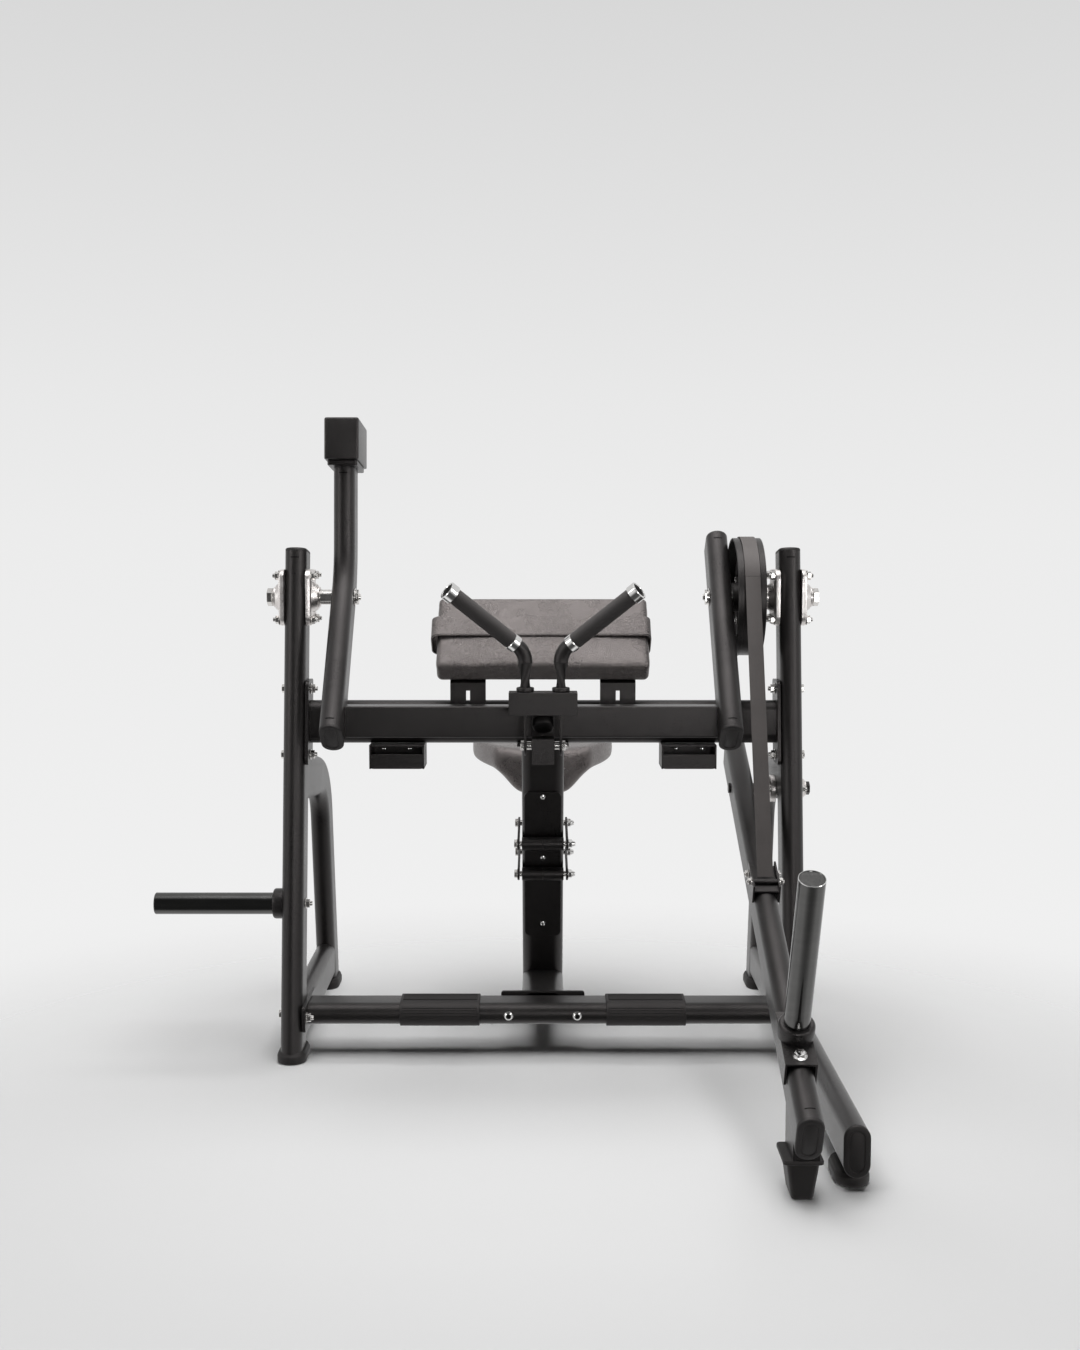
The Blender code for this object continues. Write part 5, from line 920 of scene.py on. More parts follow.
def make_lever():
    corner, top = left_arm_top()
    left_low = lever_point(LEVER_LOWER, -LEVER_LEFT_X)
    plate = stepped(top, LEVER_RISE, RIGHT, top_plate_outline,
                    ((-WELD, 0.001), (0, 0), (BLOCK_PLATE - 0.001, 0), (BLOCK_PLATE, 0.001)))
    fine("lever_arm_left", "powder_coat", tube((left_low, corner, top), LEVER_BEND), plate)
    right_low = lever_point(LEVER_LOWER, LEVER_RIGHT_X)
    right_top = lever_point(-LEVER_STUB, LEVER_RIGHT_X)
    fine("lever_arm_right", "powder_coat", tube((right_low, right_top)), tube_cap(right_top, -LEVER_DOWN))
    fine("lever_cap_left", "black_rubber", tube_cap(left_low, LEVER_DOWN))
    fine("lever_cap_right", "black_rubber", tube_cap(right_low, LEVER_DOWN))
    front = -across_of(LEVER_DOWN)
    upper_front = across_of(LEVER_RISE)
    # Painted shade in the slots near the lever arms' ends
    piece("lever_slot_shades", "lever", "painted_hole_shade", slot_shade(left_low, LEVER_DOWN, front),
          slot_shade(right_low, LEVER_DOWN, front), slot_shade(right_top, -LEVER_DOWN, front),
          slot_shade(top, LEVER_RISE, upper_front))
    hub_bolts = [(lever_point(0, LEVER_RIGHT_X - TUBE_WIDE / 2 - BOLT_SINK), -RIGHT),
                 (lever_point(0, -LEVER_LEFT_X + TUBE_WIDE / 2 + BOLT_SINK), RIGHT)]
    fasteners("lever_shaft_nuts", "lever", hub_bolts, radius=0.0175, height=0.008, washer=0.021, tip=0.008,
              tip_height=0.005)


def make_moving_crossbar():
    low, high = -LEVER_LEFT_X + TUBE_WIDE / 2 + GAP, LEVER_RIGHT_X - TUBE_WIDE / 2 - GAP
    ends = [(x, CROSS_DEEP / 2, CROSS_Z) for x in (low, high)]
    fine("moving_crossbar", "powder_coat", tube(ends, across=CROSS_DEEP, along=CROSS_TALL, corner=CROSS_CORNER))


def counterweight_outline(inset):
    return rounded_rectangle(BLOCK_DEEP - 2 * inset, BLOCK_WIDE - 2 * inset, BLOCK_ROUND - min(inset, 0.004))


def make_counterweight():
    levels = ((0, 0.002), (0.0006, 0.0006), (0.002, 0), (BLOCK_TALL - 0.005, 0), (BLOCK_TALL - 0.0022, 0.0008),
              (BLOCK_TALL - 0.0007, 0.0024), (BLOCK_TALL, 0.0055))
    foot = left_arm_top()[1] + LEVER_RISE * (BLOCK_PLATE + GAP)
    fine("counterweight", "powder_coat", stepped(foot, LEVER_RISE, RIGHT, counterweight_outline, levels))


def make_cam():
    rim = CAM_R - CAM_RIM
    web_in, web_out = (CAM_WIDE - CAM_WEB) / 2, (CAM_WIDE + CAM_WEB) / 2
    bore = SHAFT_R + 0.0004
    loop = ((0, bore), (0, CAM_HUB_R - 0.001), (0.001, CAM_HUB_R), (web_in - 0.004, CAM_HUB_R),
            (web_in, CAM_HUB_R + 0.004), (web_in, rim - 0.004), (web_in - 0.004, rim), (0.001, rim),
            (0, rim + 0.001), (0, CAM_R - 0.001), (0.001, CAM_R), (0.0135, CAM_R), (0.0140, CAM_R - 0.0016),
            (CAM_WIDE - 0.0140, CAM_R - 0.0016), (CAM_WIDE - 0.0135, CAM_R), (CAM_WIDE - 0.001, CAM_R),
            (CAM_WIDE, CAM_R - 0.001), (CAM_WIDE, rim + 0.001), (CAM_WIDE - 0.001, rim), (web_out + 0.004, rim),
            (web_out, rim - 0.004), (web_out, CAM_HUB_R + 0.004), (web_out + 0.004, CAM_HUB_R),
            (CAM_WIDE - 0.001, CAM_HUB_R), (CAM_WIDE, CAM_HUB_R - 0.001), (CAM_WIDE, bore))
    start = PIVOT + RIGHT * (CAM_X - CAM_WIDE / 2)
    fine("cam", "powder_coat", turned(start, RIGHT, loop, 120, closed=True))
    spots = []
    for step in range(CAM_BOLTS):
        turn = math.tau * step / CAM_BOLTS + CAM_BOLT_TURN
        out = Vector((0, math.cos(turn), math.sin(turn))) * CAM_BOLT_AT
        spots.append((PIVOT + RIGHT * (CAM_X - CAM_WEB / 2) + out, -RIGHT))
    fasteners("cam_bolts", "lever", spots, radius=0.009, height=0.007, tip=0.005, tip_height=0.003)


def belt_tangent():
    """Belt's lower pivot, and the place and angle where it meets the cam."""
    start = arm_place(BELT_END_AT, BELT_END_UP, 0)
    radius = CAM_R + GAP + BELT_THICK / 2
    reach = start - PIVOT
    tilt = (math.atan2(reach.z, reach.y) - math.acos(radius / reach.length)) % math.tau
    return start, PIVOT + Vector((0, math.cos(tilt), math.sin(tilt))) * radius, tilt


def belt_arc(first, last, low, high, half):
    """Length of belt round the cam between two angles and two radii."""
    count = max(8, int(abs(last - first) / math.radians(2)))
    rings = []
    for step in range(count + 1):
        turn = first + (last - first) * step / count
        out = Vector((0, math.cos(turn), math.sin(turn)))
        rings.append([PIVOT + RIGHT * (CAM_X + side * half) + out * radius
                      for radius, side in ((low, -1), (high, -1), (high, 1), (low, 1))])
    return loft(rings)


def make_belt():
    start, touch, tilt = belt_tangent()
    inner = CAM_R + GAP
    fine("belt_wrap", "belt_grey", belt_arc(tilt, WRAP_TO, inner, inner + BELT_THICK, BELT_WIDE / 2))
    wound = belt_arc(WOUND_FROM, WOUND_TO, inner + WOUND_IN, inner + BELT_THICK - WOUND_IN,
                     BELT_WIDE / 2 - 0.0006)
    piece("belt_wound", "frame", "belt_grey", wound)
    along = (touch - start).normalized()
    ends = [start + RIGHT * CAM_X + along * (CLEVIS_PIN_R + 3 * GAP) / BELT_KEEP,
            touch + RIGHT * CAM_X - along * 2 * GAP]
    outline = rounded_rectangle(BELT_THICK, BELT_WIDE, BELT_THICK / 4, 2)
    reach = ends[1] - ends[0]
    rings = [ring_at(ends[0] + reach * step / 24, outline, along, RIGHT) for step in range(25)]
    run = fine("belt_run", "belt_grey", loft(rings))
    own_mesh(run)


# Handles

def handle_path(side):
    tip = Vector((side * HANDLE_TIP[0], HANDLE_TIP[1], HANDLE_TIP[2]))
    return (Vector((side * HANDLE_X, YOKE_Y, YOKE_Z + YOKE_SQUARE / 2)),
            Vector((side * HANDLE_X, YOKE_Y, HANDLE_CORNER_Z)), tip)


def make_handles():
    half = YOKE_SQUARE / 2
    middle = Vector((0, YOKE_Y, YOKE_Z))
    pin = Vector((0, YOKE_PIVOT_Y, YOKE_PIVOT_Z))
    solids = [block(middle - Vector((YOKE_WIDE / 2, half, half)), middle + Vector((YOKE_WIDE / 2, half, half)))]
    collars = []
    for side, name in ((-1, "left"), (1, "right")):
        low, high = sorted((side * YOKE_PLATE_X, side * (YOKE_PLATE_X + YOKE_PLATE)))
        outline = stadium(YOKE_Z - half + 0.004 - (YOKE_PIVOT_Z - YOKE_PLATE_BELOW) + 0.016, YOKE_PLATE_Y)
        centre_z = (YOKE_PIVOT_Z - YOKE_PLATE_BELOW + YOKE_Z - half + 0.020) / 2
        solids.append(loft([ring_at((x, YOKE_PIVOT_Y, centre_z), outline, RIGHT, BACK) for x in (low, high)]))
        foot, corner, tip = handle_path(side)
        along = (tip - corner).normalized()
        collar = corner + along * GRIP_COLLAR_AT
        cap = tip - along * (GRIP_TIP - 0.003)
        solids.append(tube((foot - UP * HANDLE_RING, corner, tip), HANDLE_BEND, 2 * HANDLE_R, 2 * HANDLE_R))
        solids.append(sleeve(foot, UP, HANDLE_RING, HANDLE_RING_R, HANDLE_R - WELD, 0.0015))
        collars.append(sleeve(collar, along, GRIP_COLLAR, GRIP_COLLAR_R, HANDLE_R - WELD))
        ring = ((0, HANDLE_R), (0, GRIP_TIP_R - 0.0012), (0.0012, GRIP_TIP_R), (GRIP_TIP - 0.0012, GRIP_TIP_R),
                (GRIP_TIP, GRIP_TIP_R - 0.0012), (GRIP_TIP, 0.0170), (GRIP_TIP - 0.0010, HANDLE_R))
        fine("grip_cap_" + name, "polished_chrome", turned(cap, along, ring, closed=True))
        # Painted shade: a near-black disc inside the open end of the handle tube
        piece("grip_mouth_shade_" + name, "handles", "painted_hole_shade",
              rod(tip - along * 0.002, tip + along * 0.0006, HANDLE_R - 0.002))
        start = collar + along * (GRIP_COLLAR + GAP)
        grip = sleeve(start, along, (cap - start).length - GAP, GRIP_R, HANDLE_R, 0.0012)
        fine("grip_" + name, "foam_grip", grip)
    fine("handle_yoke", "powder_coat", *solids, edge=0.0016)
    piece("grip_collars", "handles", "polished_chrome", *collars)
    outer = YOKE_PLATE_X + YOKE_PLATE + GAP
    pin_solids = [rod(pin - RIGHT * (outer + 0.004), pin + RIGHT * (outer + 0.012), YOKE_PIN_R)]
    for way in (-RIGHT, RIGHT):
        pin_solids.append(rod(pin + way * (HUB_HALF + GAP), pin + way * (YOKE_PLATE_X - GAP), 0.0105))
        pin_solids.append(rod(pin + way * outer, pin + way * (outer + 0.008), 0.011, 6, 0.001))
    fine("yoke_pin", "bright_steel", *pin_solids)
    dressed("handle_hub", "powder_coat", 0.0012)
    way = -LEVER_DOWN
    low = Vector((0, BUMPER_Y, BUMPER_Z)) - way * BUMPER_LONG / 2
    levels = ((0, BUMPER_R - 0.0055), (0.0003, BUMPER_R - 0.0028), (0.0012, BUMPER_R - 0.001),
              (0.003, BUMPER_R), (BUMPER_LONG - 0.001, BUMPER_R), (BUMPER_LONG, BUMPER_R - 0.001))
    fine("bumper", "black_rubber", turned(low, way, levels))


# Weight arm

def arm_saddle():
    """Folded plate that sits over the weight arm and carries the horn."""
    roof = TUBE_TALL / 2 + GAP
    half, inner = SADDLE_HALF, SADDLE_HALF - SADDLE_WALL
    low, high = roof - SADDLE_DROP, roof + SADDLE_WALL
    outline = ((-half, low), (-inner, low), (-inner, roof), (inner, roof), (inner, low), (half, low),
               (half, high), (-half, high))
    return loft([[arm_place(distance, up, CAM_X + x) for x, up in outline]
                 for distance in (SADDLE_BACK, SADDLE_FRONT)])


def horn_sleeve(start, axis, reach):
    """Plate sleeve with a chamfered rim round a slightly sunk end."""
    levels = ((0, HORN_R - 0.0005), (0.0005, HORN_R), (reach - 0.0015, HORN_R), (reach, HORN_R - 0.0012),
              (reach, HORN_R - 0.0030), (reach - 0.0010, HORN_R - 0.0036))
    return turned(start, axis, levels, 72)


def make_weight_arm():
    rear, front = arm_place(-ARM_REAR, 0), arm_place(ARM_FRONT, 0)
    slope = ARM_FORWARD.z / ARM_FORWARD.y
    half_y, half_x = ARM_FOOT_LONG / 2 - 0.002, ARM_FOOT_NARROW / 2 - 0.002
    low_z = ARM_FOOT_TOP_Z + GAP
    within = arm_place(ARM_FRONT, -TUBE_TALL / 2 + TUBE_WIDE / 2, 0)
    points = [(ARM_FOOT_Y - half_y, low_z), (ARM_FOOT_Y + half_y, low_z)]
    points += [(y, within.z + (y - within.y) * slope) for y in (ARM_FOOT_Y + half_y, ARM_FOOT_Y - half_y)]
    half_x = min(half_x, TUBE_WIDE / 2 - 0.0005)
    fine("weight_arm", "powder_coat", tube((front, rear)), tube_cap(rear, -ARM_FORWARD),
         prism(points, CAM_X - half_x, CAM_X + half_x))
    fine("weight_arm_cap", "black_rubber", tube_cap(front, ARM_FORWARD))
    # Painted shade in the slot near the weight arm's front end
    piece("weight_arm_slot_shades", "weight_arm", "painted_hole_shade", slot_shade(front, ARM_FORWARD, ARM_UP, 0.022))
    shaft_in, shaft_out = ARM_PIVOT + RIGHT * ARM_SHAFT_IN_X, ARM_PIVOT + RIGHT * ARM_SHAFT_OUT_X
    piece("arm_pivot_shaft", "weight_arm", "powder_coat", rod(shaft_in, shaft_out, ARM_SHAFT_R),
          rod(shaft_out - RIGHT * ARM_SHAFT_NUT, shaft_out, ARM_SHAFT_NUT_R, 6, 0.001))
    under = ARM_FOOT_TOP_Z - ARM_FOOT_FLANGE
    levels = ((0, 0.062, 0.034, 0.006), (0.0015, 0.067, 0.039, 0.007),
              (0.005, ARM_FOOT_TIP_LONG, ARM_FOOT_TIP_WIDE, 0.008), (under - 0.002, 0.085, 0.0595, 0.008),
              (under, ARM_FOOT_LONG - 0.002, ARM_FOOT_WIDE - 0.002, 0.008),
              (under + 0.001, ARM_FOOT_LONG, ARM_FOOT_WIDE, 0.008),
              (ARM_FOOT_TOP_Z - 0.0015, ARM_FOOT_LONG, ARM_FOOT_WIDE, 0.008),
              (ARM_FOOT_TOP_Z, ARM_FOOT_LONG - 0.002, ARM_FOOT_WIDE - 0.002, 0.007))
    fine("weight_arm_foot", "black_rubber",
         loft([ring_at((ARM_FOOT_X, ARM_FOOT_Y, z), rounded_rectangle(tall, wide, radius), UP, RIGHT)
               for z, tall, wide, radius in levels]))


def make_horns():
    roof = TUBE_TALL / 2 + GAP + SADDLE_WALL
    levels = ((0, HORN_COLLAR_R), (HORN_COLLAR - 0.004, HORN_COLLAR_R),
              (HORN_COLLAR - 0.001, HORN_COLLAR_R - 0.0012), (HORN_COLLAR + WELD, HORN_COLLAR_R - 0.004),
              (HORN_COLLAR + WELD, HORN_R + 0.001))
    collar = turned(arm_place(HORN_AT, roof - WELD), ARM_UP, levels, 64)
    fine("horn_bracket", "powder_coat", arm_saddle(), collar, edge=0.0009)
    start = roof + HORN_COLLAR + GAP
    fine("weight_horn", "dark_chrome", horn_sleeve(arm_place(HORN_AT, start), ARM_UP, HORN_TOP - start))
    bolt = [(arm_place(HORN_AT + HORN_BOLT_AT, roof), ARM_UP)]
    fasteners("horn_bracket_bolt", "weight_arm", bolt, "polished_chrome", radius=0.0115, height=0.0075,
              washer=0.0135)
    low = FACE_OUT + STORE_COLLAR + GAP
    fine("storage_horn", "dark_chrome",
         horn_sleeve(Vector((-low, upright_y(STORE_Z), STORE_Z)), -RIGHT, STORE_OUT_X - low))
    rim_start = arm_place(HORN_AT, HORN_TOP - 0.0016)
    rim = sleeve(rim_start, ARM_UP, 0.0014, HORN_R + 0.0002, HORN_R - 0.0026, 0.0004)
    piece("weight_horn_rim", "weight_arm", "polished_chrome", rim)
    dressed("belt_clevis", "powder_coat", 0.0006)
    sides = []
    for at, up in ((BELT_END_AT, BELT_END_UP), (CLEVIS_AT - CLEVIS_BOLT_BACK, CLEVIS_BOLT_UP)):
        for way in (-1, 1):
            sides.append((arm_place(at, up) + RIGHT * way * (CLEVIS_HALF - GAP), RIGHT * way))
    fasteners("clevis_bolts", "weight_arm", sides, radius=0.0078, height=0.006, washer=0.0095, tip=0.004,
              tip_height=0.003)


# Arm pad

def lattice_box(lines):
    """Closed box surface whose points lie on three lists of lattice lines."""
    solid = bmesh.new()
    points = {}

    def vertex(key):
        if key not in points:
            points[key] = solid.verts.new([lines[axis][key[axis]] for axis in range(3)])
        return points[key]

    for axis in range(3):
        first, second = [other for other in range(3) if other != axis]
        for end in (0, len(lines[axis]) - 1):
            for i in range(len(lines[first]) - 1):
                for j in range(len(lines[second]) - 1):
                    corners = []
                    for step_i, step_j in ((0, 0), (1, 0), (1, 1), (0, 1)):
                        key = [0, 0, 0]
                        key[axis] = end
                        key[first] = i + step_i
                        key[second] = j + step_j
                        corners.append(vertex(tuple(key)))
                    solid.faces.new(corners)
    bmesh.ops.recalc_face_normals(solid, faces=solid.faces)
    return solid


def spaced(half, rounding, count, corner=5):
    """Lattice lines from -half to half, closer together at the rounded ends."""
    inner = half - rounding
    middle = [-inner + 2 * inner * step / count for step in range(count + 1)]
    ends = [inner + rounding * (step + 1) / corner for step in range(corner)]
    return [-value for value in reversed(ends)] + middle + ends


def round_corner(point, halves, rounding):
    """Pull a box's surface point in to a rounded box."""
    core = Vector([max(rounding - half, min(half - rounding, value)) for value, half in zip(point, halves)])
    off = Vector(point) - core
    return core + off.normalized() * rounding if off.length > 1e-9 else core


def rounded_cushion(halves, rounding, counts, shape):
    """Cushion surface: a finely cut rounded box, passed through a shape function."""
    solid = lattice_box([spaced(half, rounding, count) for half, count in zip(halves, counts)])
    for vertex in solid.verts:
        vertex.co = shape(round_corner(vertex.co, halves, rounding))
    bmesh.ops.recalc_face_normals(solid, faces=solid.faces)
    return solid


def stuffed(solid, voxel, pressure, most, smoothings):
    """Cover swelled by cloth pressure, with each point's movement capped."""
    cover = held_object(solid)
    skin = cover.modifiers.new("skin", "REMESH")
    skin.mode = "VOXEL"
    skin.voxel_size = voxel
    plain = bpy.data.meshes.new_from_object(cover.evaluated_get(bpy.context.evaluated_depsgraph_get()))
    cover.modifiers.remove(skin)
    cover.data = plain
    eased = bmesh.new()
    eased.from_mesh(plain)
    for _ in range(smoothings):
        bmesh.ops.smooth_vert(eased, verts=eased.verts, factor=0.5, use_axis_x=True, use_axis_y=True, use_axis_z=True)
    eased.to_mesh(plain)
    eased.free()
    start = [vertex.co.copy() for vertex in plain.vertices]
    scene = bpy.context.scene
    fill = cover.modifiers.new("fill", "CLOTH")
    fill.settings.use_pressure = True
    fill.settings.uniform_pressure_force = pressure
    fill.settings.effector_weights.gravity = 0
    fill.point_cache.frame_start = 1
    fill.point_cache.frame_end = 20
    for moment in range(1, 21):
        scene.frame_set(moment)
    swelled = bpy.data.meshes.new_from_object(cover.evaluated_get(bpy.context.evaluated_depsgraph_get()))
    for vertex, before, after in zip(plain.vertices, start, swelled.vertices):
        shift = after.co - before
        vertex.co = before + shift * min(1.0, most / max(shift.length, 1e-9))
    cover.modifiers.remove(fill)
    scene.frame_set(1)
    finer = cover.modifiers.new("finer", "SUBSURF")
    finer.levels = finer.render_levels = 1
    result = bmesh.new()
    result.from_object(cover, bpy.context.evaluated_depsgraph_get())
    bpy.data.objects.remove(cover, do_unlink=True)
    return result


PAD_HALVES = (PAD_WIDE / 2, PAD_LONG / 2, PAD_THICK / 2)


def pad_shape(place, trim=0.0):
    """Pad point with a crowned top and sides that draw in between the corners."""
    half_x, half_a, half_t = PAD_HALVES
    place = Vector(place)
    bulge_x = max(0.0, 1 - (place.x / half_x) ** 2)
    bulge_a = max(0.0, 1 - (place.y / half_a) ** 2)
    if place.z > 0:
        place.z += (place.z / half_t) * (PAD_CROWN * bulge_x * bulge_a - PAD_CROWN)
    place.x *= 1 - (trim + PAD_DRAW * bulge_a * (1 - abs(place.z) / half_t)) / half_x
    place.y *= 1 - (trim + PAD_DRAW * bulge_x * (1 - abs(place.z) / half_t)) / half_a
    place.z *= 1 - trim / half_t
    return place


def pad_place(local):
    """Machine-frame place of a pad point; local is (x, along, out)."""
    front = Vector((0, PAD_FRONT_Y, PAD_FRONT_Z))
    return front + PAD_UP * (local.y + PAD_LONG / 2) + PAD_OUT * (local.z - PAD_THICK / 2) + RIGHT * local.x


def make_pad():
    trim = 0.002
    solid = rounded_cushion(PAD_HALVES, PAD_ROUND, (60, 26, 6), lambda place: pad_shape(place, trim))
    solid = stuffed(solid, 0.0040, 4.0, 0.0012, 1)
    half_x, half_a, half_t = PAD_HALVES
    for vertex in solid.verts:
        place = vertex.co
        place.x = max(-half_x, min(half_x, place.x))
        place.y = max(-half_a, min(half_a, place.y))
        place.z = max(-half_t, min(half_t - 0.0008, place.z))
        vertex.co = pad_place(place)
    bmesh.ops.recalc_face_normals(solid, faces=solid.faces)
    fine("arm_pad", "pad_leather", solid)
    make_band(half_x, half_t)


def make_band(half_x, half_t):
    """Elastic band round the pad, slack at its left side, with a stitched lower edge drawn as a line of painted shade.
    """
    loops = {}
    for grow in (GAP, GAP + BAND_THICK):
        outline = rounded_rectangle(2 * half_t + 2 * grow, 2 * half_x + 2 * grow, PAD_ROUND + grow)
        points = []
        for u, v in outline:
            slack = 0.0
            if u < 0:
                bow = max(0.0, 1 - (v / half_t) ** 2)
                slack = BAND_SLACK * min(1.0, max(0.0, (-u - half_x + 0.030) / 0.030)) * (0.72 + 0.28 * bow)
            points.append((u - slack, v))
        loops[grow] = points

    def ring(along, grow):
        return [pad_place(Vector((u, along, v))) for u, v in loops[grow]]

    start = BAND_FROM - PAD_LONG / 2
    cuts = [start + BAND_WIDE * step / 10 for step in range(11)]
    rings = [ring(along, GAP + BAND_THICK) for along in cuts] + [ring(along, GAP) for along in reversed(cuts)]
    fine("pad_band", "pad_leather", loft(rings, closed=True))
    centre = pad_place(Vector((0, 0, 0)))
    stitched = []
    for shift in (HEM_FROM, HEM_TO):
        points = ring(start + shift, GAP + BAND_THICK)
        stitched.append([point + (point - centre).normalized() * HEM_PROUD for point in points])
    inner = [ring(start + shift, GAP) for shift in (HEM_TO, HEM_FROM)]
    # The hem is a near-black strip of painted shade along the band's stitched lower edge
    piece("band_hem_shade", "frame", "painted_hole_shade", loft(stitched + inner, closed=True))


# Centre column and seat

def front_pivot(z):
    off = TUBE_WIDE / 2 + GAP + MOUNT_PLATE + PIVOT_TUBE_R - WELD
    return Vector((0, column_y(z), z)) + COLUMN_OUT * off


def rear_pivot(z):
    return front_pivot(z) + Vector((0, LINK_RUN, LINK_RISE))


def pivot_bar(place):
    """Pivot tube with broken ends and a fine groove at its middle."""
    half, radius = PIVOT_TUBE_HALF, PIVOT_TUBE_R
    levels = ((0, radius - 0.001), (0.001, radius), (half - 0.0008, radius), (half - 0.0004, radius - 0.0010),
              (half + 0.0004, radius - 0.0010), (half + 0.0008, radius), (2 * half - 0.001, radius),
              (2 * half, radius - 0.001))
    return turned(place - RIGHT * half, RIGHT, levels)


def make_centre():
    plate_y = LOW_BAR_Y + TUBE_TALL / 2 + GAP
    outline = rounded_rectangle(CENTRE_PLATE_TALL, CENTRE_PLATE_WIDE, 0.006)
    plate = loft([ring_at((0, y, LOW_BAR_Z), outline, BACK, RIGHT) for y in (plate_y, plate_y + END_PLATE)])
    base = tube(((0, plate_y, LOW_BAR_Z), (0, CENTRE_BASE_REAR_Y, LOW_BAR_Z)), across=TUBE_TALL, along=TUBE_WIDE)
    fine("centre_base_tube", "powder_coat", base, plate,
         tube_cap((0, CENTRE_BASE_REAR_Y, LOW_BAR_Z), BACK, UP), edge=0.0006)
    low_z, high_z = LOW_BAR_Z + 0.012, BEAM_Z - TUBE_TALL / 2 - GAP - COLUMN_PLATE
    column = tube(((0, column_y(low_z), low_z), (0, column_y(high_z), high_z + 0.001)), across=TUBE_TALL - 2 * GAP,
                  along=TUBE_WIDE)
    front_y = BEAM_Y - TUBE_WIDE / 2
    top_plate = block((-COLUMN_PLATE_WIDE / 2, front_y, high_z),
                      (COLUMN_PLATE_WIDE / 2, front_y + COLUMN_PLATE_DEEP, high_z + COLUMN_PLATE))
    fine("centre_column", "powder_coat", column, top_plate, edge=0.0006)


def make_seat_mount():
    low = Vector((0, column_y(MOUNT_LOW_Z), MOUNT_LOW_Z))
    high = Vector((0, column_y(MOUNT_TOP_Z), MOUNT_TOP_Z))
    middle = (low + high) / 2 + COLUMN_OUT * (TUBE_WIDE / 2 + GAP)
    outline = rounded_rectangle(MOUNT_WIDE, (high - low).length, MOUNT_ROUND)
    plate = loft([ring_at(middle + COLUMN_OUT * distance, outline, COLUMN_OUT, COLUMN_UP)
                  for distance in (0, MOUNT_PLATE)])
    bars = [pivot_bar(front_pivot(z)) for z in (LINK_UPPER_Z, LINK_LOWER_Z)]
    fine("seat_mount_plate", "powder_coat", plate, *bars, edge=0.0006)
    face = TUBE_WIDE / 2 + GAP + MOUNT_PLATE
    screws = [(Vector((0, column_y(z), z)) + COLUMN_OUT * face, COLUMN_OUT) for z in SCREW_Z]
    fasteners("mount_screws", "frame", screws, "polished_chrome", sides=16, radius=0.0055, height=0.0022,
              washer=0.006, washer_thick=0.0004, tip=0.005, tip_top=0.0022, tip_height=0.0015)


def make_links():
    """Link plates, their hex bolt heads on the left and domed cap nuts on the right."""
    for z, name in ((LINK_UPPER_Z, "upper"), (LINK_LOWER_Z, "lower")):
        start, end = front_pivot(z), rear_pivot(z)
        along = (end - start).normalized()
        outline = stadium((end - start).length + LINK_TALL, LINK_TALL)
        across = along.cross(RIGHT)
        plates = []
        for side in (-1, 1):
            low, high = sorted((side * LINK_X, side * (LINK_X + LINK_PLATE)))
            plates.append(loft([[(start + end) / 2 + RIGHT * x + across * u + along * v for u, v in outline]
                                for x in (low, high)]))
        body = name + "_link"
        fine("seat_link_" + name, "powder_coat", *plates, edge=0.0008)
        reach = LINK_X + LINK_PLATE
        heads = [(place - RIGHT * reach, -RIGHT) for place in (start, end)]
        nuts = [(place + RIGHT * reach, RIGHT) for place in (start, end)]
        fasteners("link_bolts_" + name, body, heads, radius=0.0105, height=0.0062, washer=0.0115,
                  washer_thick=0.0014)
        fasteners("link_cap_nuts_" + name, body, nuts, "polished_chrome", radius=0.0110, height=0.0070,
                  washer=0.0118, washer_thick=0.0014, tip=0.0088, tip_top=0.0050, tip_height=0.0085)
        gaps = []
        for place in (start, end):
            for side in (-1, 1):
                gaps.append(rod(place + RIGHT * side * (PIVOT_TUBE_HALF - 0.006),
                                place + RIGHT * side * (LINK_X + 0.001), LINK_PIN_R))
        piece("link_pins_" + name, body, "bright_steel", *gaps)


def make_carriage():
    places = [rear_pivot(z) for z in (LINK_UPPER_Z, LINK_LOWER_Z)]
    front_y = places[1].y - POST_DEEP / 2
    rear_y = front_y + POST_DEEP
    post = tube(((0, front_y + POST_DEEP / 2, POST_LOW_Z), (0, front_y + POST_DEEP / 2 + 0.00001, SEAT_PLATE_Z + WELD)),
                across=2 * POST_HALF, along=POST_DEEP, corner=0.004)
    plate = block((-SEAT_PLATE_HALF, front_y - SEAT_PLATE_LEAD, SEAT_PLATE_Z),
                  (SEAT_PLATE_HALF, SEAT_PLATE_REAR_Y, SEAT_PLATE_Z + SEAT_PLATE))
    tip_y = SEAT_PLATE_REAR_Y - 0.030
    brace = prism([(rear_y - WELD, SEAT_PLATE_Z + WELD), (rear_y - WELD, SEAT_PLATE_Z - 0.085),
                   (tip_y, SEAT_PLATE_Z - 0.014), (tip_y, SEAT_PLATE_Z + WELD)], -0.003, 0.003)
    fine("seat_carriage", "powder_coat", post, plate, brace, *[pivot_bar(place) for place in places], edge=0.0008)
    spots = [(Vector((x, y, SEAT_PLATE_Z)), -UP) for x in (-0.030, 0.030) for y in (0.480, 0.610)]
    fasteners("seat_plate_bolts", "seat", spots, radius=0.0075, height=0.005, washer=0.010)


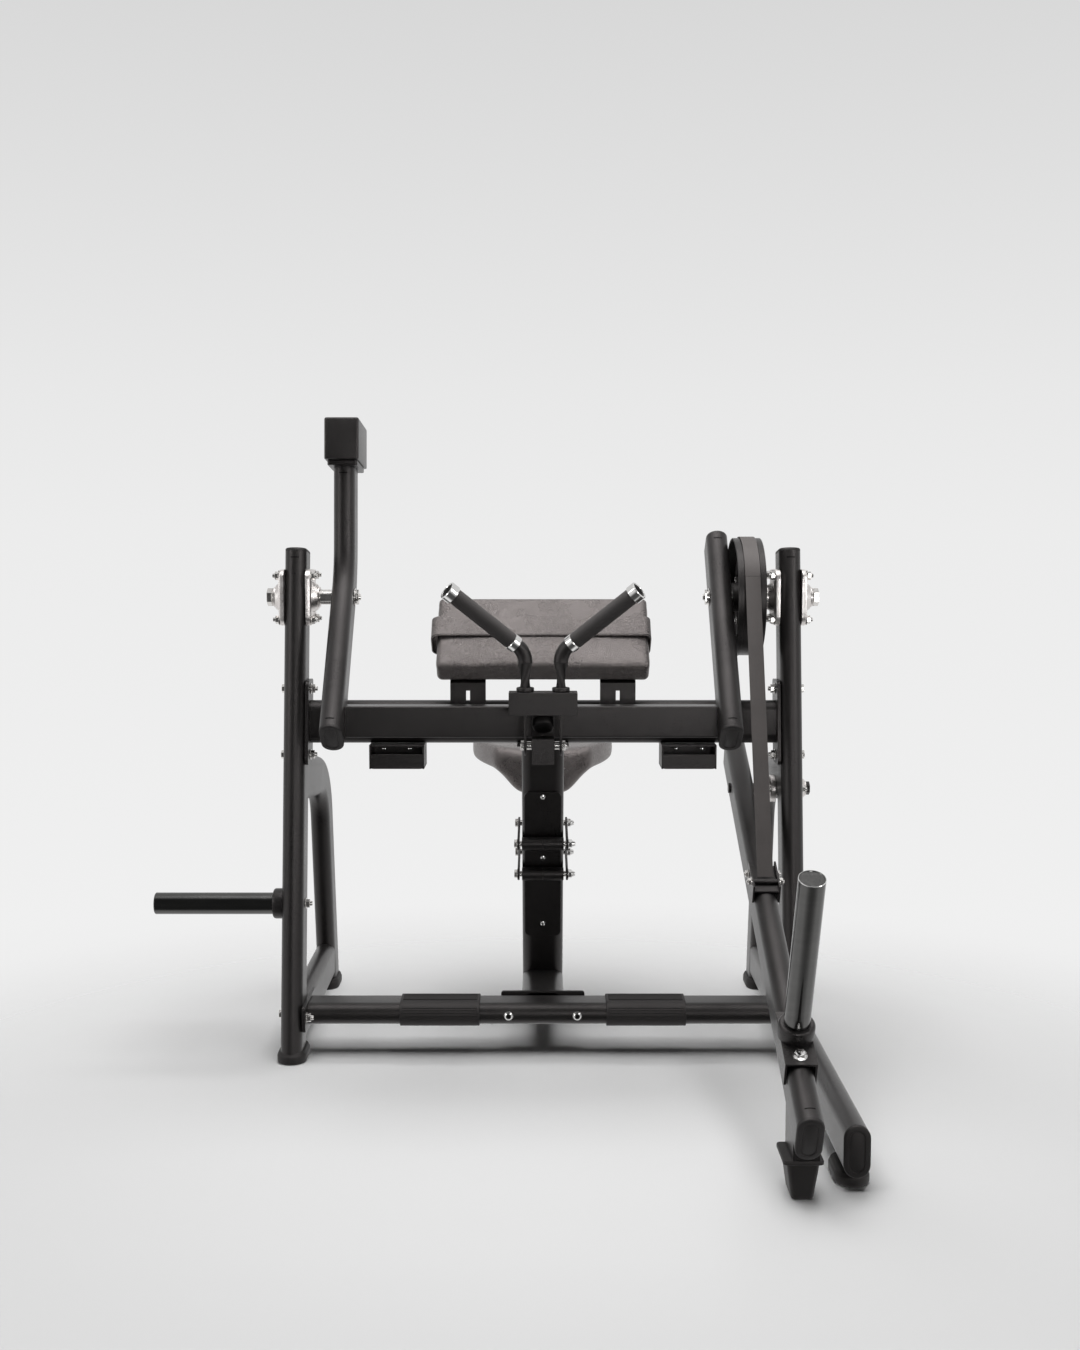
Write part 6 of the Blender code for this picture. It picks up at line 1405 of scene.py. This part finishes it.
def seat_shape(place, half_z, trim):
    """Saddle point from box coordinates: dip above, keel and wings below."""
    half_y = SEAT_LONG / 2
    share = (place.y / half_y + 1) / 2
    half_x = SEAT_HALF_FRONT + (SEAT_HALF_REAR - SEAT_HALF_FRONT) * math.sin(share * math.pi / 2)
    reach = place.x / SEAT_HALF_REAR * half_x
    top = SEAT_TOP_Z - SEAT_DIP * (1 - (reach / half_x) ** 2) - trim
    fall = max(0.0, min(1.0, (abs(reach) - SEAT_KEEL_FLAT) / (SEAT_KEEL_REACH - SEAT_KEEL_FLAT)))
    keel = SEAT_PLATE_Z + SEAT_PLATE + GAP + trim
    bottom = keel + (SEAT_WING_Z - keel) * (0.5 - 0.5 * math.cos(math.pi * fall))
    lift = (place.z / half_z + 1) / 2
    return Vector((reach * (1 - trim / half_x), SEAT_FRONT_Y + half_y + place.y * (1 - trim / half_y),
                   bottom + (top - bottom) * lift))


def make_saddle():
    half_z = (SEAT_TOP_Z - SEAT_WING_Z) / 2
    solid = rounded_cushion((SEAT_HALF_REAR, SEAT_LONG / 2, half_z), SEAT_ROUND, (46, 30, 4),
                            lambda place: seat_shape(place, half_z, 0.002))
    solid = stuffed(solid, 0.0045, 4.0, 0.0012, 14)
    for vertex in solid.verts:
        vertex.co.z = min(SEAT_TOP_Z, max(SEAT_PLATE_Z + SEAT_PLATE + GAP, vertex.co.z))
    fine("saddle_seat", "pad_leather", solid)


def make_frame_bolts():
    """Bolts and nuts that hold the crossbar and the beam between the uprights."""
    outer, inner = [], []
    for side in (-1, 1):
        for y in (-0.062, 0.062):
            outer.append((Vector((side * FACE_OUT, LOW_BAR_Y + y * 0.55, LOW_BAR_Z)), RIGHT * side))
            inner.append((Vector((side * (FACE_IN - GAP - END_PLATE), LOW_BAR_Y + y, LOW_BAR_Z)), -RIGHT * side))
        for z in (-0.076, 0.076):
            y = upright_y(BEAM_Z + z)
            outer.append((Vector((side * FACE_OUT, y, BEAM_Z + z)), RIGHT * side))
            inner.append((Vector((side * (FACE_IN - GAP - END_PLATE), y, BEAM_Z + z)), -RIGHT * side))
    inner.append((Vector((-FACE_IN, upright_y(STORE_Z), STORE_Z)), RIGHT))
    fasteners("frame_bolts", "frame", outer, radius=0.0100, height=0.0070, washer=0.0125)
    fasteners("frame_nuts", "frame", inner, radius=0.0100, height=0.0085, washer=0.0125, tip=0.0058,
              tip_height=0.006)
    sockets = [(Vector((x, LOW_BAR_Y - TUBE_TALL / 2 - 0.0002, LOW_BAR_Z)), -BACK) for x in (-0.079, 0.079)]
    fasteners("crossbar_buttons", "frame", sockets, "polished_chrome", sides=28, radius=0.0100, height=0.0028,
              washer=0.0104, washer_thick=0.0006, tip=0.0090, tip_top=0.0066, tip_height=0.0018)
    # Painted shade: thin near-black hexagons in the buttons' socket recesses
    fasteners("crossbar_socket_shades", "frame", [(place - BACK * 0.0046, way) for place, way in sockets], "painted_hole_shade",
              sides=6, radius=0.0052, height=0.0004, washer=0.0050, washer_thick=0.0003, tip=0.0040, tip_height=0.0002)


# Stage, light and camera

def make_floor():
    mesh = bpy.data.meshes.new("floor")
    solid = bmesh.new()
    bmesh.ops.create_circle(solid, cap_ends=True, segments=96, radius=9.0)
    solid.to_mesh(mesh)
    solid.free()
    floor = bpy.data.objects.new("floor", mesh)
    bpy.context.collection.objects.link(floor)
    made = bpy.data.materials.new("pale_floor")
    made.use_nodes = True
    nodes, links = made.node_tree.nodes, made.node_tree.links
    shader = nodes["Principled BSDF"]
    shader.inputs["Base Color"].default_value = (0.80, 0.80, 0.80, 1)
    shader.inputs["Roughness"].default_value = 0.9
    shader.inputs["Specular IOR Level"].default_value = 0.1
    where = nodes.new("ShaderNodeTexCoord")
    flat = nodes.new("ShaderNodeVectorMath")
    flat.operation = "LENGTH"
    shifted = nodes.new("ShaderNodeMapping")
    shifted.inputs["Location"].default_value = (-0.15, 0.40, 0)
    links.new(where.outputs["Object"], shifted.inputs["Vector"])
    links.new(shifted.outputs["Vector"], flat.inputs[0])
    fade = nodes.new("ShaderNodeMapRange")
    fade.interpolation_type = "SMOOTHSTEP"
    fade.inputs["From Min"].default_value = 0.65
    fade.inputs["From Max"].default_value = 2.1
    links.new(flat.outputs["Value"], fade.inputs["Value"])
    clear = nodes.new("ShaderNodeBsdfTransparent")
    blend = nodes.new("ShaderNodeMixShader")
    rays = nodes.new("ShaderNodeLightPath")
    share = added(nodes, links, fade.outputs["Result"], rays.outputs["Is Glossy Ray"], "MAXIMUM")
    links.new(share, blend.inputs["Fac"])
    links.new(shader.outputs["BSDF"], blend.inputs[1])
    links.new(clear.outputs["BSDF"], blend.inputs[2])
    links.new(blend.outputs["Shader"], nodes["Material Output"].inputs["Surface"])
    mesh.materials.append(made)


def make_world():
    """Plain dim light for the object; a pale sweep for the camera, metal and glass."""
    world = bpy.data.worlds.new("studio")
    bpy.context.scene.world = world
    world.use_nodes = True
    nodes, links = world.node_tree.nodes, world.node_tree.links
    shown = nodes["Background"]
    where = nodes.new("ShaderNodeTexCoord")
    split = nodes.new("ShaderNodeSeparateXYZ")
    links.new(where.outputs["Generated"], split.inputs["Vector"])
    height = mapped(nodes, links, split.outputs["Z"], -0.35, 0.35)
    sweep = nodes.new("ShaderNodeValToRGB")
    links.new(height, sweep.inputs["Fac"])
    stops = ((0.0, 0.80), (0.17, 0.87), (0.5, 0.84), (0.62, 0.81), (0.71, 0.775), (0.93, 0.69), (1.0, 0.66))
    for step, (place, level) in enumerate(stops):
        stop = sweep.color_ramp.elements[step] if step < 2 else sweep.color_ramp.elements.new(place)
        stop.position = place
        stop.color = (level, level, level, 1)
    rays = nodes.new("ShaderNodeLightPath")
    side = nodes.new("ShaderNodeMapRange")
    side.interpolation_type = "SMOOTHSTEP"
    side.inputs["From Min"].default_value = -0.60
    side.inputs["From Max"].default_value = -0.12
    side.inputs["To Min"].default_value = 0.04
    links.new(split.outputs["Y"], side.inputs["Value"])
    wing = nodes.new("ShaderNodeMapRange")
    wing.interpolation_type = "SMOOTHSTEP"
    wing.inputs["From Min"].default_value = 0.35
    wing.inputs["From Max"].default_value = 0.80
    links.new(added(nodes, links, split.outputs["X"], 0.0, "ABSOLUTE"), wing.inputs["Value"])
    lit = added(nodes, links, side.outputs["Result"], wing.outputs["Result"], "MAXIMUM")
    seen = added(nodes, links, rays.outputs["Is Glossy Ray"], lit, "MULTIPLY")
    seen = added(nodes, links, seen, rays.outputs["Is Camera Ray"], "MAXIMUM")
    seen = added(nodes, links, seen, rays.outputs["Is Transmission Ray"], "MAXIMUM")
    mix = nodes.new("ShaderNodeMix")
    mix.data_type = "RGBA"
    mix.inputs["A"].default_value = (0.04, 0.04, 0.04, 1)
    links.new(seen, mix.inputs["Factor"])
    links.new(sweep.outputs["Color"], mix.inputs["B"])
    links.new(mix.outputs["Result"], shown.inputs["Color"])


def softbox(name, place, target, wide, deep, power, fills=False, shines=True):
    lamp = bpy.data.lights.new(name, "AREA")
    lamp.shape = "RECTANGLE"
    lamp.size = wide
    lamp.size_y = deep
    lamp.energy = power
    held = bpy.data.objects.new(name, lamp)
    held.location = place
    held.rotation_euler = (Vector(target) - Vector(place)).to_track_quat("-Z", "Y").to_euler()
    held.visible_camera = False
    held.visible_diffuse = fills
    held.visible_glossy = shines
    bpy.context.collection.objects.link(held)


def make_studio():
    make_floor()
    make_world()
    softbox("overhead_fill", (0.12, -0.10, 3.3), (0.12, -0.099, 0), 2.8, 3.4, 138, True, False)
    softbox("overhead_shine", (0.12, -0.20, 3.3), (0.12, -0.199, 0), 2.4, 1.0, 118)
    softbox("front_fill", (1.0, -4.3, 1.0), (0.1, 0.1, 0.6), 1.4, 1.0, 30)
    softbox("front_right", (2.7, -2.2, 1.9), (0.1, 0.1, 0.6), 0.8, 1.8, 26)
    softbox("front_left", (-2.8, -1.4, 1.7), (0.1, 0.1, 0.6), 0.6, 1.6, 12)
    lens = bpy.data.cameras.new("camera")
    lens.lens = 42.32
    lens.sensor_width = 36.0
    camera = bpy.data.objects.new("camera", lens)
    camera.location = (0.1193, -3.474514, 1.209)
    camera.rotation_euler = (math.radians(84.851), 0, 0)
    bpy.context.collection.objects.link(camera)
    scene = bpy.context.scene
    scene.camera = camera
    scene.view_settings.view_transform = "Standard"


for way, label in ((-1, "left"), (1, "right")):
    make_side(way, label)
fine("base_cap_right", "black_rubber", tube_cap((FRAME_X, RIGHT_BASE_FRONT_Y, BASE_Z), -BACK))
make_feet()
make_low_crossbar()
make_foot_pads()
make_beam()
make_trays()
make_bearings()
make_lever()
make_moving_crossbar()
make_counterweight()
make_shafts()
make_cam()
make_belt()
make_handles()
make_weight_arm()
make_horns()
make_pad()
make_centre()
make_seat_mount()
make_links()
make_carriage()
make_saddle()
make_frame_bolts()
make_studio()
